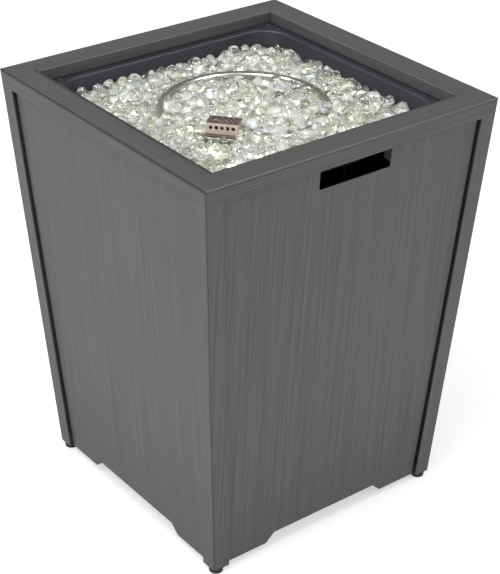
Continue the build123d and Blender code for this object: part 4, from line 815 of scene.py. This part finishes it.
# ---- Geometry Nodes helpers ----
def new_node_tree(name, inputs):
    """Geometry Nodes tree with a material and other inputs: (name, socket type, default)."""
    tree = bpy.data.node_groups.new(name, "GeometryNodeTree")
    tree.interface.new_socket("Geometry", in_out="INPUT", socket_type="NodeSocketGeometry")
    for title, kind, default in inputs:
        socket = tree.interface.new_socket(title, in_out="INPUT", socket_type=kind)
        socket.default_value = default
    tree.interface.new_socket("Material", in_out="INPUT", socket_type="NodeSocketMaterial")
    tree.interface.new_socket("Geometry", in_out="OUTPUT", socket_type="NodeSocketGeometry")
    return tree, tree.nodes.new("NodeGroupInput")


def grow(source, tree, values, name):
    """Runs a tree on an object and returns the result as a mesh object."""
    modifier = source.modifiers.new("Grow", "NODES")
    modifier.node_group = tree
    sockets = {
        item.name: item.identifier for item in tree.interface.items_tree
        if item.in_out == "INPUT"
    }
    for title, value in values.items():
        modifier[sockets[title]] = value
    depsgraph = bpy.context.evaluated_depsgraph_get()
    mesh = bpy.data.meshes.new_from_object(source.evaluated_get(depsgraph), depsgraph=depsgraph)
    source.modifiers.remove(modifier)
    bpy.data.objects.remove(source)
    mesh.name = name
    return new_object(name, mesh)


def place_copies(tree, points, shape):
    """Turned and scaled copies of a shape on every point, as real mesh."""
    turn, size = (
        add_node(tree, "GeometryNodeInputNamedAttribute", {"Name": key}, data_type="FLOAT_VECTOR")
        for key in ("turn", "size"))
    placed = add_node(tree, "GeometryNodeInstanceOnPoints", {
        "Points": points, "Instance": shape, "Rotation": turn.outputs["Attribute"],
        "Scale": size.outputs["Attribute"]})
    return add_node(tree, "GeometryNodeRealizeInstances", {"Geometry": placed.outputs[0]})


def finish_tree(tree, entry, geometry):
    """Gives the tree's result its material."""
    final = add_node(tree, "GeometryNodeSetMaterial", {
        "Geometry": geometry, "Material": entry.outputs["Material"]})
    add_node(tree, "NodeGroupOutput", {"Geometry": final.outputs[0]})
    return tree


def bead_tree():
    """Places an uneven, flattened bead on every point."""
    tree, entry = new_node_tree("Glass beads", [
        ("Segments", "NodeSocketInt", 10),
        ("Rings", "NodeSocketInt", 6),
        ("Unevenness", "NodeSocketFloat", 0.002),
    ])
    ball = add_node(tree, "GeometryNodeMeshUVSphere", {
        "Segments": entry.outputs["Segments"], "Rings": entry.outputs["Rings"], "Radius": 1.0})
    real = place_copies(tree, entry.outputs["Geometry"], ball.outputs["Mesh"])
    place = add_node(tree, "GeometryNodeInputPosition").outputs[0]
    wave = add_node(
        tree, "ShaderNodeTexNoise", {"Vector": place, "Scale": WAVE_SCALE, "Detail": 1.0})
    shift = vector_calc(tree, "SUBTRACT", wave.outputs["Color"], (0.5, 0.5, 0.5))
    scaled = add_node(tree, "ShaderNodeVectorMath", operation="SCALE")
    feed(tree, scaled.inputs[0], shift.outputs[0])
    feed(tree, scaled.inputs["Scale"], times(tree, entry.outputs["Unevenness"], WAVE_GAIN))
    uneven = add_node(tree, "GeometryNodeSetPosition", {
        "Geometry": real.outputs[0], "Offset": scaled.outputs[0]})
    smooth = add_node(tree, "GeometryNodeSetShadeSmooth", {"Geometry": uneven.outputs[0]})
    return finish_tree(tree, entry, smooth.outputs[0])


def shape_tree(name, kind, inputs):
    """Places a plain shape on every point: a disc for a thread's ridge, or a flat bar."""
    tree, entry = new_node_tree(name, inputs)
    shape = add_node(tree, kind, {title: entry.outputs[title] for title, _, _ in inputs})
    real = place_copies(tree, entry.outputs["Geometry"], shape.outputs["Mesh"])
    return finish_tree(tree, entry, real.outputs[0])


def lay(name, tree, copies, material, body):
    """Grows one piece from (place, turn, size) copies and rides it on a body."""
    places, turns, sizes = (np.array(part) for part in zip(*copies))
    source = point_cloud(f"{name}_places", places, {"turn": turns, "size": sizes}, {})
    made = grow(source, tree, {"Material": material}, name)
    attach(made, body)
    return made


# ---- Places of the small fastenings ----
def pan_screw_places():
    """The pan's screws, two at each corner; half a turn maps them on themselves."""
    near, middle, far = (SCREW_LINE - shift for shift in SCREW_SHIFTS)
    half = [(near, SCREW_LINE), (-middle, SCREW_LINE), (SCREW_LINE, middle), (SCREW_LINE, -far)]
    return half + [(-x, -y) for x, y in half]


def recess_shade_copies():
    """Two arms of a cross in the head of every pan screw, as black bars: painted shade of the
    recess.
    """
    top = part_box("pan_screws")[1].z
    return [((x, y, top), (0.0, 0.0, turn + index), RECESS)
            for index, (x, y) in enumerate(pan_screw_places()) for turn in (0.0, QUARTER)]


def ridge_copies(node, axis, turn, thread):
    """Thread ridges, one per pitch, along an axis of a CAD node."""
    low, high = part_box(node)
    start, length, pitch, radius = thread
    place = [(low[index] + high[index]) / 2 for index in range(3)]
    copies = []
    for count in range(int(length / pitch)):
        place[axis] = low[axis] + start + count * pitch
        copies.append((tuple(place), turn, (radius, radius, pitch * RIDGE_SHARE)))
    return copies


def pointer_copies():
    """The white line on the knob's rib."""
    low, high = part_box("valve_knob")
    x, z = (low.x + high.x) / 2, (low.z + high.z) / 2
    return [((x, low.y, z + POINTER_RISE), (0.0, 0.0, 0.0), POINTER)]


# ---- Operators ----
def named(*starts):
    """Names of the CAD nodes that start with any of some words."""
    return [name for name in NODES if name.startswith(starts)]


class FIREPIT_OT_coat(bpy.types.Operator):
    """Coat of the rails, posts, panels and door"""

    bl_idname = "firepit.coat"
    bl_label = "Frame and panels"

    def execute(self, context):
        # The top rails get darker copies of the coat, as painted shade.
        dress(brushed_coat("coat_crosswise", "x", CROSSWISE_SHADE),
              "top_rail_front", "top_rail_back")
        dress(brushed_coat("coat_lengthwise", "y", LENGTHWISE_SHADE),
              "top_rail_left", "top_rail_right")
        dress(brushed_coat("coat_upright", "z"), *named("post_"), "panel_left", "panel_right",
              "panel_back", "door_panel")
        return {"FINISHED"}


class FIREPIT_OT_steelwork(bpy.types.Operator):
    """Painted and plated steel inside the column, and the feet"""

    bl_idname = "firepit.steelwork"
    bl_label = "Steelwork and feet"

    def execute(self, context):
        dress(satin_paint("black_paint", BLACK_PAINT, 0.5),
              *named("rim_gusset", "panel_clips", "shelf_brackets", "door_pivot_brackets"),
              "base_shelf", "tank_collar", "control_plate", "door_magnets")
        dress(moulded("foot_plastic", DEEP_BLACK, 0.6), *named("foot_"))
        dress(metal("zinc_plate", ZINC, ZINC_STAIN, 0.34),
              "shelf_bolts", "tank_bolt", "door_pivot_pins", "door_strikes", "heat_shield",
              "shield_standoffs", "control_screws", "burner_nut", "air_mixer", "gas_pipe",
              "stem_collar", "valve_stem")
        dress(metal("brass", BRASS, BRASS_STAIN, 0.3), "gas_valve", "gas_inlet", "burner_nipple")
        dress(moulded("control_plastic", CONTROL_BLACK, 0.42),
              "valve_knob", "igniter_button", "igniter_module", "igniter_nut")
        dress(metal("sooted_steel", SOOTED, SOOTED_STAIN, 0.5), "thermocouple", "pilot_burner")
        dress(moulded("sooted_ceramic", CERAMIC, 0.5), "igniter_electrode")
        return {"FINISHED"}


class FIREPIT_OT_pan(bpy.types.Operator):
    """Burner pan and its screws"""

    bl_idname = "firepit.pan"
    bl_label = "Pan"

    def execute(self, context):
        dress(satin_paint("pan_coat", PAN_PAINT, 0.5), "burner_pan", "pan_screws")
        return {"FINISHED"}


class FIREPIT_OT_burner(bpy.types.Operator):
    """Burner ring, pilot hood and plate"""

    bl_idname = "firepit.burner"
    bl_label = "Burner and pilot"

    def execute(self, context):
        dress(metal("burner_steel", BURNER, BURNER_STAIN, 0.24, stain_share=0.2), "burner_ring")
        dress(heated_steel("pilot_steel", HOOD, HOOD_TOP, 0.35), "pilot_cage")
        dress(heated_steel("plate_steel", PLATE, PLATE_TOP, 0.4), "pilot_plate")
        return {"FINISHED"}


class FIREPIT_OT_fire_glass(bpy.types.Operator):
    """Heap of polished glass beads in the pan"""

    bl_idname = "firepit.fire_glass"
    bl_label = "Fire glass"

    def execute(self, context):
        glass = context.scene.fire_pit_glass
        places, depth, rng = settle_beads(glass)
        count = len(places)
        size = np.array([glass.length, glass.width, glass.height]) / 2
        scales = size * rng.uniform(*BEAD_SPREAD, (count, 1)) * rng.uniform(*AXIS_SPREAD, (count, 3))
        turns = rng.uniform(-math.pi, math.pi, (count, 3))
        turns[:, :2] *= BEAD_LEAN
        tints = rng.uniform(0.0, 1.0, count)
        milky = rng.uniform(0.0, 1.0, count) ** MILKY_POWER + MILKY_DEPTH * depth
        milky = np.clip(milky, 0.0, 1.0)
        tree = bead_tree()
        groups = (("clear", glass.clear, RARE_BLUE, 0.0, CLEAR_SHARE),
                  ("green", glass.green, RARE_AMBER, CLEAR_SHARE, 1.0))
        kind = rng.uniform(0.0, 1.0, count)
        for title, color, rare, low, high in groups:
            chosen = (kind >= low) & (kind < high)
            source = point_cloud(
                "bead_places", places[chosen], {"turn": turns[chosen], "size": scales[chosen]},
                {"tint": tints[chosen], "milky": milky[chosen]})
            beads = grow(source, tree, {
                "Material": glass_material(f"glass_{title}", color, rare),
            }, f"fire_glass_{title}")
            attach(beads, "frame")
            if title == "clear":
                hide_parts("fire_glass")
        return {"FINISHED"}


class FIREPIT_OT_fastenings(bpy.types.Operator):
    """Painted shade of the pan's screw recesses, thread ridges and the knob's white line"""

    bl_idname = "firepit.fastenings"
    bl_label = "Screw recesses, threads and knob line"

    def execute(self, context):
        # Black bars that paint the shade in the screws' cross recesses
        black = moulded("recess_black", DEEP_BLACK, 0.7)
        white = moulded("pointer_white", POINTER_WHITE, 0.5)
        zinc, brass = (bpy.data.materials[name] for name in ("zinc_plate", "brass"))
        threads = shape_tree("Thread ridges", "GeometryNodeMeshCylinder", [
            ("Vertices", "NodeSocketInt", 24), ("Radius", "NodeSocketFloat", 1.0),
            ("Depth", "NodeSocketFloat", 1.0)])
        bars = shape_tree("Bars", "GeometryNodeMeshCube", [
            ("Size", "NodeSocketVector", (1.0, 1.0, 1.0))])
        on_bolt = ridge_copies("tank_bolt", 1, (QUARTER, 0.0, 0.0), BOLT_THREAD)
        on_inlet = ridge_copies("gas_inlet", 2, (0.0, 0.0, 0.0), INLET_THREAD)
        lay("pan_screw_recess_shade", bars, recess_shade_copies(), black, "frame")
        lay("bolt_thread", threads, on_bolt, zinc, "tank_bolt")
        lay("inlet_thread", threads, on_inlet, brass, "frame")
        lay("knob_line", bars, pointer_copies(), white, "valve_knob")
        return {"FINISHED"}


class FIREPIT_OT_stage(bpy.types.Operator):
    """Floor, lamps, background and camera"""

    bl_idname = "firepit.stage"
    bl_label = "Stage"

    def execute(self, context):
        stage = context.scene.fire_pit_stage
        make_floor(stage)
        make_world(context.scene)
        make_lamps()
        make_camera(context.scene, stage)
        context.scene.view_settings.view_transform = "Standard"
        return {"FINISHED"}


def make_floor(stage):
    """Square floor that looks white to the camera, in reflections and through glass."""
    mesh = bpy.data.meshes.new("floor")
    half = FLOOR_HALF
    mesh.from_pydata(
        [(-half, -half, 0), (half, -half, 0), (half, half, 0), (-half, half, 0)], [],
        [(0, 1, 2, 3)])
    floor = new_object("floor", mesh)
    material, tree, shader, _ = new_material(
        "floor_paint", Roughness=0.9, Specular_IOR_Level=0.1)
    rays = add_node(tree, "ShaderNodeLightPath").outputs
    direct = highest(tree, *(
        rays[kind] for kind in ("Is Camera Ray", "Is Glossy Ray", "Is Transmission Ray")))
    wire(tree, shader, Base_Color=rgba(stage.floor), Emission_Color=rgba(WHITE),
         Emission_Strength=times(tree, direct, FLOOR_GLOW))
    mesh.materials.append(material)


def make_world(scene):
    """White background, with its own light for surfaces, reflections and glass."""
    world = bpy.data.worlds.new("studio")
    scene.world = world
    world.use_nodes = True
    tree = world.node_tree
    tree.nodes.clear()
    toward = add_node(tree, "ShaderNodeNewGeometry").outputs["Position"]
    horizon = soft_step(tree, axes(tree, toward)["Z"], *HORIZON)
    boxes, sparks = (box_light(tree, toward, places) for places in (SOFT_BOXES, SPARKS))
    rays = add_node(tree, "ShaderNodeLightPath").outputs
    mirrored = calc(
        tree, "MULTIPLY_ADD", sparks, SPARK_LIGHT, spread(tree, horizon, *MIRROR_SKY))
    through_glass = calc(tree, "MULTIPLY_ADD", boxes, BOX_LIGHT, GLASS_SKY)
    strength = spread(tree, horizon, *SKY)
    for ray, light in (("Is Glossy Ray", mirrored), ("Is Transmission Ray", through_glass),
                       ("Is Camera Ray", 1.0)):
        chosen = add_node(tree, "ShaderNodeMix", data_type="FLOAT")
        for index, value in ((0, rays[ray]), (2, strength), (3, light)):
            feed(tree, chosen.inputs[index], value)
        strength = chosen.outputs[0]
    background = add_node(tree, "ShaderNodeBackground", {
        "Color": rgba(WHITE), "Strength": strength})
    output = add_node(tree, "ShaderNodeOutputWorld")
    tree.links.new(background.outputs[0], output.inputs[0])


def box_light(tree, toward, places):
    """1 inside round lights in the sky, given by azimuth, elevation and half angle."""
    total = 0.0
    for azimuth, elevation, half_angle in places:
        aim = direction_from(azimuth, elevation)
        nearness = vector_calc(tree, "DOT_PRODUCT", toward, aim).outputs["Value"]
        edge = math.radians(half_angle)
        box = soft_step(tree, nearness, math.cos(edge), math.cos(edge * BOX_EDGE))
        total = calc(tree, "ADD", box, total)
    return total


def direction_from(azimuth, elevation):
    """Unit vector from the object to a lamp or camera."""
    turn, rise = math.radians(azimuth), math.radians(elevation)
    return Vector((
        math.sin(turn) * math.cos(rise), -math.cos(turn) * math.cos(rise), math.sin(rise)))


def make_lamps():
    """Square soft lamps that aim at the upper part of the column."""
    for name, azimuth, elevation, distance, size, watts in LAMPS:
        lamp = bpy.data.lights.new(name, "AREA")
        lamp.shape = "SQUARE"
        lamp.size = size
        lamp.energy = watts
        made = new_object(name, lamp)
        away = direction_from(azimuth, elevation)
        made.location = LAMP_AIM + away * distance
        made.rotation_euler = away.to_track_quat("Z", "Y").to_euler()


def make_camera(scene, stage):
    """Camera that stands round the object and is tilted by its roll."""
    data = bpy.data.cameras.new("camera")
    data.sensor_width = SENSOR
    data.lens = stage.lens
    camera = new_object("camera", data)
    back = direction_from(stage.azimuth, stage.elevation)
    right = Vector((0, 0, 1)).cross(back).normalized()
    up = back.cross(right)
    tilt = math.radians(stage.roll)
    turned_right = right * math.cos(tilt) + up * math.sin(tilt)
    turned_up = up * math.cos(tilt) - right * math.sin(tilt)
    turn = Matrix((turned_right, turned_up, back)).transposed().to_4x4()
    camera.matrix_world = Matrix.Translation(Vector(stage.target) + back * stage.distance) @ turn
    scene.camera = camera


class FIREPIT_PT_panel(bpy.types.Panel):
    """Buttons for every group of pieces"""

    bl_label = "Fire pit"
    bl_idname = "FIREPIT_PT_panel"
    bl_space_type = "VIEW_3D"
    bl_region_type = "UI"
    bl_category = "Fire pit"

    def draw(self, context):
        for operator in OPERATORS:
            self.layout.operator(operator.bl_idname)


SETTINGS = (
    ("fire_pit_coat", CoatSettings),
    ("fire_pit_glass", GlassSettings),
    ("fire_pit_stage", StageSettings),
)
OPERATORS = (
    FIREPIT_OT_stage,
    FIREPIT_OT_coat,
    FIREPIT_OT_steelwork,
    FIREPIT_OT_pan,
    FIREPIT_OT_burner,
    FIREPIT_OT_fire_glass,
    FIREPIT_OT_fastenings,
)


def register():
    for name, group in SETTINGS:
        bpy.utils.register_class(group)
        setattr(bpy.types.Scene, name, PointerProperty(type=group))
    for operator in OPERATORS:
        bpy.utils.register_class(operator)
    bpy.utils.register_class(FIREPIT_PT_panel)


def unregister():
    bpy.utils.unregister_class(FIREPIT_PT_panel)
    for operator in reversed(OPERATORS):
        bpy.utils.unregister_class(operator)
    for name, group in reversed(SETTINGS):
        delattr(bpy.types.Scene, name)
        bpy.utils.unregister_class(group)


def main():
    register()
    for operator in OPERATORS:
        group, name = operator.bl_idname.split(".")
        getattr(getattr(bpy.ops, group), name)()


if __name__ == "__main__":
    main()
